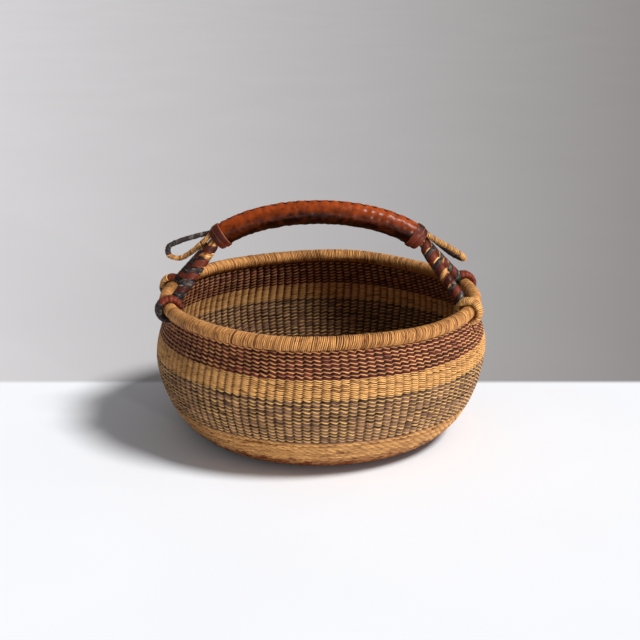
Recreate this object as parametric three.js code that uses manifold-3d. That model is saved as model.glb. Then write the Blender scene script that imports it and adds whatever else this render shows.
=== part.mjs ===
// A round bolga basket: a woven bowl with a wrapped rim and an arched handle on four wound legs.
// Millimetres, +Z up, the origin on the floor under the middle of the bowl, +X along the handle.

import * as THREE from 'three';
import { mergeVertices } from 'three/addons/utils/BufferGeometryUtils.js';
import Module from 'manifold-3d';

const wasm = await Module();
wasm.setup();

// The woven wall, as an outline of the outside: flat base, round belly, drawn in to the rim
const baseRadius = 128;
const bellyRadius = 198;
const bellyHeight = 101;
const rimWallRadius = 186.3;
const wallThickness = 5;
const baseSweepShare = 0.64;
const bellyDropShare = 0.65;
const bellyRiseShare = 0.42;
const shoulderShare = 0.72;
const shoulderDrawShare = 0.92;

// Heights where the weave changes colour
const greyBandFoot = 45;
const naturalBandFoot = 102;
const maroonBandFoot = 124;

// The rim: a bundle of folded-over stakes inside a wrap of fine grass
const rollShift = 0.5;
const rimRadius = rimWallRadius - wallThickness / 2 + rollShift;
const rimHeight = 162;
const rollRadius = 8;
const rollWrapThickness = 1.8;

// The four rings that hold the handle's legs to the rim
const ringTubeRadius = 4.2;
const ringPlay = 0.5;
const ringSpreads = {
  left: { front: 56, back: 38 },
  right: { front: 65, back: 52 },
};

// The handle: two grass hoops side by side in the grip, parted below it as four legs
const hoopRadius = 4.9;
const hoopHalfGap = 5.7;
const handleShift = -2;
const gripHalfSpan = 119;
const gripCentreHeight = 264.5;
const gripEndHeight = 232.7;
const archSpanShare = 0.875;
const archHalfWidth = gripHalfSpan / archSpanShare;

// The leather cover on the grip, its seam and the padding under it
const gripRadius = 14.2;
const gripTaperShare = 0.03;
const leatherThickness = 1.5;
const seamGap = 0.8;
const seamTurn = Math.PI / 18;
const laceRadius = 0.7;
const laceReach = 3;
const laceStitches = 17;
const laceSpanShare = 0.84;

// The strap bound round each end of the grip
const collarOverlap = 11;
const collarReach = 3;
const collarThickness = 1.8;
const collarMouthRadius = 15;
const collarWaistShare = 0.5;

// The strips wound down each leg, leather and grass turn about
const leastTurnPitch = 13.8;
const leatherStripWidth = 7.4;
const grassStripWidth = 4.6;
const stripThickness = 1.4;
const windingPlay = 0.65;

// The stiff loop at each end of the grip: a grass core, wrapped dark on one half
const earLength = 56;
const earHalfWidth = 10.5;
const earRadius = 3.4;
const earCoreRadius = 2.1;
const earWrapThickness = 0.7;
const earRootHalfGap = 3.4;
const earRootRise = 9.6;
const earRootDepth = 2;
const earLiftLeft = 15;
const earLiftRight = 8;
const earTurnLeft = Math.PI / 2;
const earTurnRight = -Math.PI / 8;
const earSettleShare = 0.5;

// The room left between pieces that touch
const clearance = 0.3;

// How finely round shapes are divided
const wallSides = 48;
const wallHalvings = 40;
const bowlRows = 5;
const bowlRowPower = 1.6;
const greyBandRows = 3;
const naturalBandRows = 2;
const maroonBandRows = 3;
const rollSides = 10;
const ringSides = 8;
const ringSteps = 16;
const hoopSides = 8;
const hoopSteps = 36;
const gripSides = 12;
const gripSteps = 20;
const collarSteps = 4;
const laceSides = 4;
const stripStepsPerTurn = 12;
const earSides = 6;
const earSteps = 24;
const walkTrials = 2000;

// Colours and finishes
const naturalGrass = { color: 0xc9a063, roughness: 0.7, metalness: 0 };
const maroonGrass = { color: 0x7a4446, roughness: 0.7, metalness: 0 };
const greyGrass = { color: 0x6e6a60, roughness: 0.75, metalness: 0 };
const darkGrass = { color: 0x3d3a3c, roughness: 0.75, metalness: 0 };
const gripLeather = { color: 0x8a3d1c, roughness: 0.35, metalness: 0 };
const strapLeather = { color: 0x6f3524, roughness: 0.45, metalness: 0 };
const laceThong = { color: 0x3a1c12, roughness: 0.5, metalness: 0 };

const lateral = new THREE.Vector3(0, 1, 0);
const basket = new THREE.Group();

// Adds one named piece to the basket
function addPiece(name, geometry, finish) {
  const mesh = new THREE.Mesh(geometry, new THREE.MeshStandardMaterial(finish));
  mesh.name = name;
  basket.add(mesh);
}

// Turns a closed geometry into a solid for joining and cutting
function solidOf(geometry) {
  const bare = geometry.clone();
  bare.deleteAttribute('normal');
  bare.deleteAttribute('uv');
  const merged = mergeVertices(bare);
  return new wasm.Manifold(new wasm.Mesh({
    numProp: 3,
    vertProperties: new Float32Array(merged.attributes.position.array),
    triVerts: new Uint32Array(merged.index.array),
  }));
}

// Turns a solid back into a geometry
function geometryOf(solid) {
  const mesh = solid.getMesh();
  const geometry = new THREE.BufferGeometry();
  geometry.setAttribute('position', new THREE.BufferAttribute(new Float32Array(mesh.vertProperties), 3));
  geometry.setIndex(new THREE.BufferAttribute(new Uint32Array(mesh.triVerts), 1));
  geometry.computeVertexNormals();
  return geometry;
}

// Cuts one geometry by several others
function cut(geometry, tools) {
  const whole = tools.reduce((rest, tool) => rest.subtract(solidOf(tool)), solidOf(geometry));
  return geometryOf(whole);
}

// A profile of radius and height turned about the upright axis
function turned(profile, sides) {
  const geometry = new THREE.LatheGeometry(profile, sides);
  geometry.rotateX(Math.PI / 2);
  return geometry;
}

// The corners of a round section, with the first one at a given turn
function discSection(radius, sides, turn = 0) {
  return Array.from({ length: sides }, (_, k) => {
    const angle = turn + (2 * Math.PI * k) / sides;
    return new THREE.Vector2(radius * Math.cos(angle), radius * Math.sin(angle));
  });
}

// A round rod along a curve
function rodAlong(curve, radius, sides, steps) {
  return new THREE.ExtrudeGeometry(new THREE.Shape(discSection(radius, sides)), { steps, extrudePath: curve });
}

// A closed solid swept through frames: each has a point and the two directions of its section
function swept(frames, sectionAt) {
  const sections = frames.map((_, k) => sectionAt(k / (frames.length - 1)));
  const count = sections[0].length;
  const places = [];
  frames.forEach(({ point, across, out }, k) => {
    for (const corner of sections[k]) {
      const place = point.clone().addScaledVector(across, corner.x).addScaledVector(out, corner.y);
      places.push(place.x, place.y, place.z);
    }
  });
  const faces = [];
  for (let k = 0; k + 1 < frames.length; k += 1) {
    for (let side = 0; side < count; side += 1) {
      const next = (side + 1) % count;
      const low = k * count;
      const high = low + count;
      faces.push(low + side, low + next, high + next, low + side, high + next, high + side);
    }
  }
  const last = (frames.length - 1) * count;
  for (const [a, b, c] of THREE.ShapeUtils.triangulateShape(sections[0], [])) faces.push(c, b, a);
  for (const [a, b, c] of THREE.ShapeUtils.triangulateShape(sections.at(-1), [])) {
    faces.push(last + a, last + b, last + c);
  }
  const geometry = new THREE.BufferGeometry();
  geometry.setAttribute('position', new THREE.Float32BufferAttribute(places, 3));
  geometry.setIndex(faces);
  geometry.computeVertexNormals();
  return geometry;
}

// A closed arc-shaped strip of a circle
function arcSection(outer, inner, start, end, sides, centre = new THREE.Vector2()) {
  const at = (radius, angle) => new THREE.Vector2(
    centre.x + radius * Math.cos(angle),
    centre.y + radius * Math.sin(angle),
  );
  const angles = Array.from({ length: sides + 1 }, (_, k) => start + ((end - start) * k) / sides);
  const outside = angles.map((angle) => at(outer, angle));
  const inside = angles.map((angle) => at(inner, angle)).reverse();
  return [...outside, ...inside];
}

// The wall: outline of the outside, from the base's edge to the underside of the rim
const wallTopHeight = rimHeight - rollRadius + rollWrapThickness - clearance;
const lowerWall = new THREE.CubicBezierCurve(
  new THREE.Vector2(baseRadius, 0),
  new THREE.Vector2(THREE.MathUtils.lerp(baseRadius, bellyRadius, baseSweepShare), 0),
  new THREE.Vector2(bellyRadius, bellyHeight * bellyDropShare),
  new THREE.Vector2(bellyRadius, bellyHeight),
);
const upperWall = new THREE.CubicBezierCurve(
  new THREE.Vector2(bellyRadius, bellyHeight),
  new THREE.Vector2(bellyRadius, THREE.MathUtils.lerp(bellyHeight, wallTopHeight, bellyRiseShare)),
  new THREE.Vector2(
    THREE.MathUtils.lerp(bellyRadius, rimWallRadius, shoulderDrawShare),
    THREE.MathUtils.lerp(bellyHeight, wallTopHeight, shoulderShare),
  ),
  new THREE.Vector2(rimWallRadius, wallTopHeight),
);

// The wall's outside and inside points at one height of the outside
function wallAt(height) {
  const curve = height < bellyHeight ? lowerWall : upperWall;
  let low = 0;
  let high = 1;
  for (let halving = 0; halving < wallHalvings; halving += 1) {
    const middle = (low + high) / 2;
    if (curve.getPoint(middle).y < height) low = middle;
    else high = middle;
  }
  const outside = curve.getPoint(high);
  const along = curve.getTangent(Math.max(high, Number.EPSILON));
  const inward = new THREE.Vector2(-along.y, along.x);
  return { outside, inside: outside.clone().addScaledVector(inward, wallThickness) };
}

// One coloured band of the wall, between two heights
function wallBand(foot, top, rows) {
  const stations = Array.from({ length: rows + 1 }, (_, k) => wallAt(foot + ((top - foot) * k) / rows));
  const outside = stations.map((station) => station.outside);
  const inside = stations.map((station) => station.inside).reverse();
  return turned([...outside, ...inside, outside[0]], wallSides);
}

// The bowl below the bands, closed across the floor
function bowl(top, rows) {
  const shares = Array.from({ length: rows + 1 }, (_, k) => ((k + 1) / (rows + 1)) ** bowlRowPower);
  const stations = shares.map((share) => wallAt(top * share));
  return turned([
    new THREE.Vector2(0, 0),
    new THREE.Vector2(baseRadius, 0),
    ...stations.map((station) => station.outside),
    ...stations.map((station) => station.inside).reverse(),
    new THREE.Vector2(baseRadius, wallThickness),
    new THREE.Vector2(0, wallThickness),
  ], wallSides);
}

// The rings: each lies in the plane that crosses the rim squarely
const ringRadius = rollRadius + ringPlay + ringTubeRadius;

function ringCentre(side, face) {
  const spread = ringSpreads[side < 0 ? 'left' : 'right'][face < 0 ? 'front' : 'back'];
  return new THREE.Vector3(side * Math.sqrt(rimRadius ** 2 - spread ** 2), face * spread, rimHeight);
}

function ringAt(side, face, tubeRadius) {
  const centre = ringCentre(side, face);
  const geometry = new THREE.TorusGeometry(ringRadius, tubeRadius, ringSides, ringSteps);
  geometry.rotateX(Math.PI / 2);
  geometry.rotateZ(Math.atan2(centre.y, centre.x));
  geometry.translate(centre.x, centre.y, centre.z);
  return geometry;
}

// The handle's arch, flat on top and steeper to its ends
const archRise = (gripCentreHeight - gripEndHeight) / (1 - Math.sqrt(1 - (gripHalfSpan / archHalfWidth) ** 2));
const archFoot = gripCentreHeight - archRise;

function archPoint(share, offset) {
  const reach = share * gripHalfSpan;
  const height = archFoot + archRise * Math.sqrt(1 - (reach / archHalfWidth) ** 2);
  return new THREE.Vector3(handleShift + reach, offset, height);
}

// One hoop: leg, arch and leg, from ring to ring
const archShares = [-1, -0.82, -0.55, -0.2, 0.2, 0.55, 0.82, 1];
const legShares = [0.34, 0.67];

function hoopCurve(face) {
  const leg = (side) => {
    const top = archPoint(side, face * hoopHalfGap);
    const ring = ringCentre(side, face);
    const foot = ring.clone().lerp(top, ringRadius / ring.distanceTo(top));
    return [...legShares.map((share) => top.clone().lerp(foot, share)), foot];
  };
  const arch = archShares.map((share) => archPoint(share, face * hoopHalfGap));
  return new THREE.CatmullRomCurve3([...leg(-1).reverse(), ...arch, ...leg(1)]);
}

const hoops = { front: hoopCurve(-1), back: hoopCurve(1) };
const faceSigns = { front: -1, back: 1 };
const sideSigns = { left: -1, right: 1 };

// The share of a hoop's length where a test first holds, walking from one share to another
function firstShare(curve, from, to, test) {
  for (let k = 0; k <= walkTrials; k += 1) {
    const share = THREE.MathUtils.lerp(from, to, k / walkTrials);
    if (test(curve.getPointAt(share))) return share;
  }
  return to;
}

// The frame of a curve at a share of its length, with its width kept level
function frameAt(curve, share) {
  const point = curve.getPointAt(share);
  const along = curve.getTangentAt(share);
  const across = lateral.clone().addScaledVector(along, -lateral.dot(along)).normalize();
  return { point, along, across, out: new THREE.Vector3().crossVectors(along, across) };
}

function framesAlong(curve, steps) {
  return Array.from({ length: steps + 1 }, (_, k) => frameAt(curve, k / steps));
}

// The middle line of the grip and of the straps at its ends
class Spine extends THREE.Curve {
  constructor(from, to) {
    super();
    Object.assign(this, { from, to });
  }

  getPoint(share, target = new THREE.Vector3()) {
    target.copy(hoops.front.getPointAt(THREE.MathUtils.lerp(this.from, this.to, share)));
    return target.setY(0);
  }
}

const hoopLength = hoops.front.getLength();
const gripEnds = {
  left: firstShare(hoops.front, 0, 0.5, (point) => point.x > handleShift - gripHalfSpan),
  right: firstShare(hoops.front, 1, 0.5, (point) => point.x < handleShift + gripHalfSpan),
};
const gripSpine = new Spine(gripEnds.left, gripEnds.right);

// The cover's outer radius along the grip, drawn in a little at both ends
function coverRadius(share) {
  return gripRadius * (1 - gripTaperShare * Math.abs(2 * share - 1) ** 3);
}

// The turn of the seam round the grip, from straight across to a little in front of the top
const seamAngle = Math.PI / 2 + seamTurn;

// The leather cover, open along its seam
function leatherCover() {
  const opening = seamGap / gripRadius / 2;
  const start = seamAngle + opening;
  const end = start + 2 * (Math.PI - opening);
  return swept(framesAlong(gripSpine, gripSteps), (share) => (
    arcSection(coverRadius(share), coverRadius(share) - leatherThickness, start, end, gripSides)
  ));
}

// A solid rod along the grip, inside or outside the cover by a margin
function gripRod(margin) {
  return swept(framesAlong(gripSpine, gripSteps), (share) => (
    discSection(coverRadius(share) + margin, gripSides, seamAngle)
  ));
}

// The thong laced to and fro across the seam
function seamLacing() {
  const corners = 2 * laceStitches;
  const points = Array.from({ length: corners + 1 }, (_, k) => {
    const share = 0.5 + (laceSpanShare * (k / corners - 0.5));
    const frame = frameAt(gripSpine, share);
    const radius = coverRadius(share) + 2 * clearance + laceRadius;
    const angle = seamAngle + ((k % 2 ? 1 : -1) * laceReach) / radius;
    const point = frame.point.clone()
      .addScaledVector(frame.across, radius * Math.cos(angle))
      .addScaledVector(frame.out, radius * Math.sin(angle));
    return { ...frame, point };
  });
  const frames = points.map((frame, k) => {
    const before = points[Math.max(k - 1, 0)].point;
    const after = points[Math.min(k + 1, corners)].point;
    const along = after.clone().sub(before).normalize();
    const across = new THREE.Vector3().crossVectors(frame.out, along).normalize();
    return { point: frame.point, across, out: new THREE.Vector3().crossVectors(along, across) };
  });
  return swept(frames, () => discSection(laceRadius, laceSides));
}

// The loop at one end of the grip, leaving from above the hoops in the mouth of the strap
const earOutlineShares = [[0, 0], [0.3, 0.35], [0.62, 0.85], [0.88, 0.85], [1, 0]];

function earCurve(side) {
  const end = side < 0 ? gripEnds.left : gripEnds.right;
  const mouth = end + (side * (collarReach - earRootDepth)) / hoopLength;
  const root = frameAt(hoops.front, mouth);
  const outward = root.along.clone().setY(0).normalize().multiplyScalar(side);
  const up = new THREE.Vector3().crossVectors(outward, lateral).multiplyScalar(-side).normalize();
  if (up.z < 0) up.negate();
  const start = root.point.clone().setY(0).addScaledVector(up, earRootRise);
  const lift = side < 0 ? earLiftLeft : earLiftRight;
  const turn = side < 0 ? earTurnLeft : earTurnRight;
  const place = ([reach, width], hand) => {
    const settled = THREE.MathUtils.smoothstep(reach, 0, earSettleShare);
    const angle = turn * settled;
    const half = THREE.MathUtils.lerp(earRootHalfGap, earHalfWidth, width) * (reach < 1 ? hand : 0);
    return start.clone()
      .addScaledVector(outward, earLength * reach)
      .addScaledVector(up, lift * reach + half * Math.sin(angle))
      .addScaledVector(lateral, half * Math.cos(angle));
  };
  const outgoing = earOutlineShares.map((shares) => place(shares, 1));
  const returning = earOutlineShares.slice(0, -1).reverse().map((shares) => place(shares, -1));
  return new THREE.CatmullRomCurve3([...outgoing, ...returning]);
}

const ears = { left: earCurve(-1), right: earCurve(1) };

// A round rod along a loop, over some of its steps, short by a margin at both ends
function earRod(name, radius, from = 0, to = earSteps, margin = 0) {
  const { normals, binormals, tangents } = ears[name].computeFrenetFrames(earSteps);
  const frames = [];
  for (let k = from; k <= to; k += 1) {
    const shift = margin * (Number(k === from) - Number(k === to));
    const point = ears[name].getPointAt(k / earSteps).addScaledVector(tangents[k], shift);
    frames.push({ point, across: normals[k], out: binormals[k] });
  }
  return swept(frames, () => discSection(radius, earSides));
}

// The strap bound round one end of the grip, over the cover and on over both hoops
function endBinding(name) {
  const side = sideSigns[name];
  const end = gripEnds[name];
  const from = end - (side * collarOverlap) / hoopLength;
  const to = end + (side * collarReach) / hoopLength;
  const spine = side < 0 ? new Spine(to, from) : new Spine(from, to);
  const coverEnd = coverRadius(1) + clearance + collarThickness;
  const body = swept(framesAlong(spine, collarSteps), (share) => {
    const outwards = side < 0 ? 1 - share : share;
    const shrink = THREE.MathUtils.smoothstep(outwards, collarWaistShare, 1);
    return discSection(THREE.MathUtils.lerp(coverEnd, collarMouthRadius, shrink), gripSides, seamAngle);
  });
  return cut(body, [
    gripRod(clearance),
    rodAlong(hoops.front, hoopRadius + clearance, hoopSides, hoopSteps),
    rodAlong(hoops.back, hoopRadius + clearance, hoopSides, hoopSteps),
    earRod(name, earRadius + clearance),
  ]);
}

// One strip wound down a leg in an open helix, starting at a given turn round it
const windingRadius = hoopRadius + windingPlay + stripThickness / 2;

function legStretch(name, face) {
  const side = sideSigns[name];
  const curve = hoops[face];
  const half = leatherStripWidth / 2;
  const apart = windingRadius + stripThickness / 2 + clearance;
  const parted = firstShare(curve, gripEnds[name], side < 0 ? 0 : 1, (point) => Math.abs(point.y) > apart);
  const centre = ringCentre(side, faceSigns[face]);
  const slope = centre.clone().sub(archPoint(side, faceSigns[face] * hoopHalfGap));
  const lean = slope.angleTo(slope.clone().setY(0));
  const room = stripThickness + clearance + (windingRadius + stripThickness / 2) * Math.tan(lean);
  const beyondCollar = gripEnds[name] + (side * (collarReach + room)) / hoopLength;
  const top = side < 0 ? Math.min(parted, beyondCollar) : Math.max(parted, beyondCollar);
  const reach = ringRadius + ringTubeRadius + 2 * clearance + half;
  const foot = firstShare(curve, side < 0 ? 0 : 1, top, (point) => point.distanceTo(centre) > reach);
  const from = top + (side * half) / hoopLength;
  const turns = Math.floor((Math.abs(foot - from) * hoopLength) / leastTurnPitch);
  return { curve, from, to: foot, turns };
}

function legWinding(name, face, width, phase) {
  const { curve, from, to, turns } = legStretch(name, face);
  const steps = turns * stripStepsPerTurn;
  const centres = Array.from({ length: steps + 1 }, (_, k) => {
    const frame = frameAt(curve, THREE.MathUtils.lerp(from, to, k / steps));
    const angle = phase + (2 * Math.PI * k) / stripStepsPerTurn;
    const out = frame.across.clone().multiplyScalar(Math.cos(angle))
      .addScaledVector(frame.out, Math.sin(angle));
    return { out, point: frame.point.clone().addScaledVector(out, windingRadius) };
  });
  const frames = centres.map(({ out, point }, k) => {
    const before = centres[Math.max(k - 1, 0)].point;
    const after = centres[Math.min(k + 1, steps)].point;
    const along = after.clone().sub(before).normalize();
    const across = new THREE.Vector3().crossVectors(out, along).normalize();
    return { point, across, out: new THREE.Vector3().crossVectors(along, across) };
  });
  const turnApart = Math.min(...centres.slice(stripStepsPerTurn).map(({ point }, k) => (
    point.distanceTo(centres[k].point)
  )));
  console.log(`${face} ${name} winding, ${width} mm strip: least gap to itself ${(turnApart - width).toFixed(2)} mm`);
  const halfWidth = width / 2;
  const halfThickness = stripThickness / 2;
  const section = [
    new THREE.Vector2(-halfWidth, -halfThickness),
    new THREE.Vector2(halfWidth, -halfThickness),
    new THREE.Vector2(halfWidth, halfThickness),
    new THREE.Vector2(-halfWidth, halfThickness),
  ];
  return swept(frames, () => section);
}

// The woven bowl, from the floor up
addPiece('base_weave', bowl(greyBandFoot - clearance, bowlRows), naturalGrass);
addPiece('grey_band', wallBand(greyBandFoot, naturalBandFoot - clearance, greyBandRows), greyGrass);
addPiece('natural_band', wallBand(naturalBandFoot, maroonBandFoot - clearance, naturalBandRows), naturalGrass);
const slits = Object.values(sideSigns).flatMap((side) => (
  Object.values(faceSigns).map((face) => ringAt(side, face, ringTubeRadius + clearance))
));
addPiece('maroon_band', cut(wallBand(maroonBandFoot, wallTopHeight, maroonBandRows), slits), maroonGrass);

// The rim on top of the wall
const rollCentre = new THREE.Vector2(rimRadius, rimHeight);
const lipAngle = (wallThickness / 2 + 2 * clearance) / rollRadius + clearance / rollRadius;
const rimCoreRadius = (rollRadius - rollWrapThickness) * Math.cos(Math.PI / rollSides) - clearance;
const corePoints = discSection(rimCoreRadius, rollSides).map((point) => point.add(rollCentre));
addPiece('rim_core', turned([...corePoints, corePoints[0]], wallSides), naturalGrass);
const wrapSection = arcSection(
  rollRadius,
  rollRadius - rollWrapThickness,
  lipAngle - Math.PI / 2,
  2 * Math.PI - Math.PI / 2 - lipAngle,
  rollSides,
  rollCentre,
);
addPiece('rim_wrap', turned([...wrapSection, wrapSection[0]], wallSides), naturalGrass);

// The rings and the windings of the four legs
for (const [face, faceSign] of Object.entries(faceSigns)) {
  for (const [name, side] of Object.entries(sideSigns)) {
    addPiece(`${face}_${name}_ring`, ringAt(side, faceSign, ringTubeRadius), strapLeather);
    addPiece(`${face}_${name}_leather_winding`, legWinding(name, face, leatherStripWidth, 0), strapLeather);
    addPiece(`${face}_${name}_grass_winding`, legWinding(name, face, grassStripWidth, Math.PI), darkGrass);
  }
}

// The two hoops, each cut to sit on its rings
for (const [face, faceSign] of Object.entries(faceSigns)) {
  const rings = Object.values(sideSigns).map((side) => ringAt(side, faceSign, ringTubeRadius + clearance));
  const hoop = rodAlong(hoops[face], hoopRadius, hoopSides, hoopSteps);
  addPiece(`${face}_hoop`, cut(hoop, rings), naturalGrass);
}

// The grip: padding round both hoops, the leather cover and its laced seam
const bores = Object.values(hoops).map((hoop) => (
  rodAlong(hoop, hoopRadius + clearance, hoopSides, hoopSteps)
));
addPiece('grip_padding', cut(gripRod(-leatherThickness - clearance), bores), naturalGrass);
addPiece('leather_grip_cover', leatherCover(), gripLeather);
addPiece('seam_lacing', seamLacing(), laceThong);

// The straps and loops at the grip's two ends; the dark half lies on top on the left and behind on the right
for (const name of Object.keys(sideSigns)) {
  const bore = earRod(name, earRadius - earWrapThickness);
  const halves = [
    earRod(name, earRadius, 0, earSteps / 2, clearance / 2),
    earRod(name, earRadius, earSteps / 2, earSteps, clearance / 2),
  ];
  addPiece(`${name}_end_binding`, endBinding(name), strapLeather);
  addPiece(`${name}_ear_loop_core`, earRod(name, earCoreRadius), naturalGrass);
  addPiece(`${name}_ear_loop_dark_wrap`, cut(halves[0], [bore]), darkGrass);
  addPiece(`${name}_ear_loop_pale_wrap`, cut(halves[1], [bore]), naturalGrass);
}

export default basket;
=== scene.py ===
"""Dresses the round grass basket: woven bowl, wrapped rim, bound legs, leather grip and loops."""

from __future__ import annotations

import logging
import math
from dataclasses import dataclass
from enum import Enum, IntEnum
from functools import cache

import bmesh
import bpy
import numpy as np
from mathutils import Matrix, Vector

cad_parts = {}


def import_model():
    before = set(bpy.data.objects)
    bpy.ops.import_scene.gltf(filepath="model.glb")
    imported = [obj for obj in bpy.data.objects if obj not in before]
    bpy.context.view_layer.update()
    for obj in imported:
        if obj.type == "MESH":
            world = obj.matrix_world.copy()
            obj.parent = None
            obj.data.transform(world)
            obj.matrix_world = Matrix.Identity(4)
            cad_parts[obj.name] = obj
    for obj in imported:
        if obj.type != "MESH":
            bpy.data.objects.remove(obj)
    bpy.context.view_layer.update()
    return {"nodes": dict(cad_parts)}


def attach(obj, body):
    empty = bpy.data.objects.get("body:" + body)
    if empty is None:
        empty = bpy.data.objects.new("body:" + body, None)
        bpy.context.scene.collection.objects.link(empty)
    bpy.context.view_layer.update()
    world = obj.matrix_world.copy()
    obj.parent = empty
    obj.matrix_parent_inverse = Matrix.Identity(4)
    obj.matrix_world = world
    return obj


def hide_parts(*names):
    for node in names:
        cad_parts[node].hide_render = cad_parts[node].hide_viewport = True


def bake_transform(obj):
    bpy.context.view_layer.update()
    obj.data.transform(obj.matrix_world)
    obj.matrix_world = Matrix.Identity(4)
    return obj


LOG = logging.getLogger("basket")
MM = 0.001
FULL_TURN = 2 * math.pi
HAIR = 1e-6
UP = np.array([0, 0, 1])
Colour = tuple[float, float, float, float]
Triple = tuple[float, float, float]
Waves = tuple[tuple[int, float, float], ...]


def tint(red: int, green: int, blue: int) -> Colour:
    """Turns a colour as seen on a screen into the colour that the shaders take.

    Args:
        red: The red value, 0 to 255.
        green: The green value, 0 to 255.
        blue: The blue value, 0 to 255.

    Returns:
        The linear colour with full cover.
    """
    linear = []
    for value in (red, green, blue):
        share = value / 255
        linear.append(share / 12.92 if share <= 0.04045 else ((share + 0.055) / 1.055) ** 2.4)
    return (linear[0], linear[1], linear[2], 1.0)


def turn_from(turn: np.ndarray, start: float) -> np.ndarray:
    """Returns turns as counted from a start, up to half a turn either way."""
    return (turn - start + math.pi) % FULL_TURN - math.pi


def fuller(wave: np.ndarray, power: float) -> np.ndarray:
    """Returns a wave with fuller shoulders, which turns a round section into a flat one."""
    return np.sign(wave) * np.abs(wave) ** power


def near_edge(section: np.ndarray, start: float) -> np.ndarray:
    """Returns how near places lie to a strip's edges: 0 up to a share of its half width, 1 at the edge."""
    return np.clip((np.abs(np.sin(section)) - start) / (1 - start), 0, 1)


class Slot(Enum):
    """The material slots of the record."""

    NATURAL = "natural_grass"
    RIM = "rim_grass"
    MAROON = "maroon_grass"
    GREY = "grey_grass"
    DARK = "dark_grass"
    GRIP = "grip_leather"
    STRAP = "strap_leather"
    THONG = "lace_thong"


class Carrier(Enum):
    """What carries a piece when the handle leans."""

    BASKET = "basket"
    HANDLE = "handle"
    BOTH = "both"


class Side(IntEnum):
    """The left and the right of the basket, as signs along X."""

    LEFT = -1
    RIGHT = 1


class Face(IntEnum):
    """The front and the back of the basket, as signs along Y."""

    FRONT = -1
    BACK = 1


class ShaderDesk:
    """A material in the making, with its node tree and its main shader."""

    def __init__(self, name: str) -> None:
        """Starts a material.

        Args:
            name: The material's name.
        """
        self.material = bpy.data.materials.new(name)
        self.material.use_nodes = True
        self.nodes = self.material.node_tree.nodes
        self.links = self.material.node_tree.links
        self.shader = next(n for n in self.nodes if n.type == "BSDF_PRINCIPLED")

    def add(self, kind: str, inputs: dict[int | str, object] | None = None,
            **settings: object) -> bpy.types.Node:
        """Adds a node.

        Args:
            kind: The node's type name.
            inputs: Values or sockets for its inputs.
            **settings: Its own settings.

        Returns:
            The new node.
        """
        node = self.nodes.new(kind)
        for key, value in settings.items():
            setattr(node, key, value)
        self.feed(node, inputs or {})
        return node

    def feed(self, node: bpy.types.Node, inputs: dict[int | str, object]) -> None:
        """Links sockets to a node's inputs, or sets their values.

        Args:
            node: The node.
            inputs: A value or socket for each input, by number or name.
        """
        for key, value in inputs.items():
            if isinstance(value, bpy.types.NodeSocket):
                self.links.new(value, node.inputs[key])
            else:
                node.inputs[key].default_value = value

    def strand_map(self) -> bpy.types.NodeSocket:
        """Returns the places on the piece's own map, in metres along and around its strands."""
        return self.add("ShaderNodeUVMap", uv_map="strand").outputs[0]

    def attribute(self, name: str) -> bpy.types.NodeSocket:
        """Returns a value kept on the piece."""
        return self.add("ShaderNodeAttribute", attribute_name=name).outputs[2]

    def noise(self, vector: bpy.types.NodeSocket, scale: float, detail: float) -> bpy.types.NodeSocket:
        """Returns a noise value at the given places."""
        inputs = {"Vector": vector, "Scale": scale, "Detail": detail}
        return self.add("ShaderNodeTexNoise", inputs).outputs[0]

    def streaks(self, vector: bpy.types.NodeSocket, scale: Triple, detail: float) -> bpy.types.NodeSocket:
        """Returns a noise value with a scale of its own in each direction."""
        drawn = self.add("ShaderNodeMapping", {"Vector": vector, "Scale": scale}).outputs[0]
        return self.noise(drawn, 1.0, detail)

    def spread(self, value: bpy.types.NodeSocket, low: float, high: float, to_low: float = 0.0,
               to_high: float = 1.0) -> bpy.types.NodeSocket:
        """Returns a value drawn from one range to another, and held inside it."""
        inputs = {0: value, 1: low, 2: high, 3: to_low, 4: to_high}
        return self.add("ShaderNodeMapRange", inputs).outputs[0]

    def sum(self, first: object, second: object, how: str = "ADD") -> bpy.types.NodeSocket:
        """Returns two values added, or put together in another way."""
        return self.add("ShaderNodeMath", {0: first, 1: second}, operation=how).outputs[0]

    def mix(self, share: object, first: object, second: object, how: str = "MIX") -> bpy.types.NodeSocket:
        """Returns two colours mixed."""
        inputs = {0: share, 6: first, 7: second}
        return self.add("ShaderNodeMix", inputs, data_type="RGBA", blend_type=how).outputs[2]

    def bump(self, height: bpy.types.NodeSocket, distance: float, strength: float,
             under: bpy.types.NodeSocket | None = None) -> bpy.types.NodeSocket:
        """Returns the normals of a surface raised by a height, over other normals where they are given."""
        inputs = {"Height": height, "Distance": distance, "Strength": strength}
        return self.add("ShaderNodeBump", inputs | ({"Normal": under} if under else {})).outputs[0]

    def finished(self, inputs: dict[int | str, object]) -> bpy.types.Material:
        """Feeds the main shader and returns the material."""
        self.feed(self.shader, inputs)
        return self.material


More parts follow.
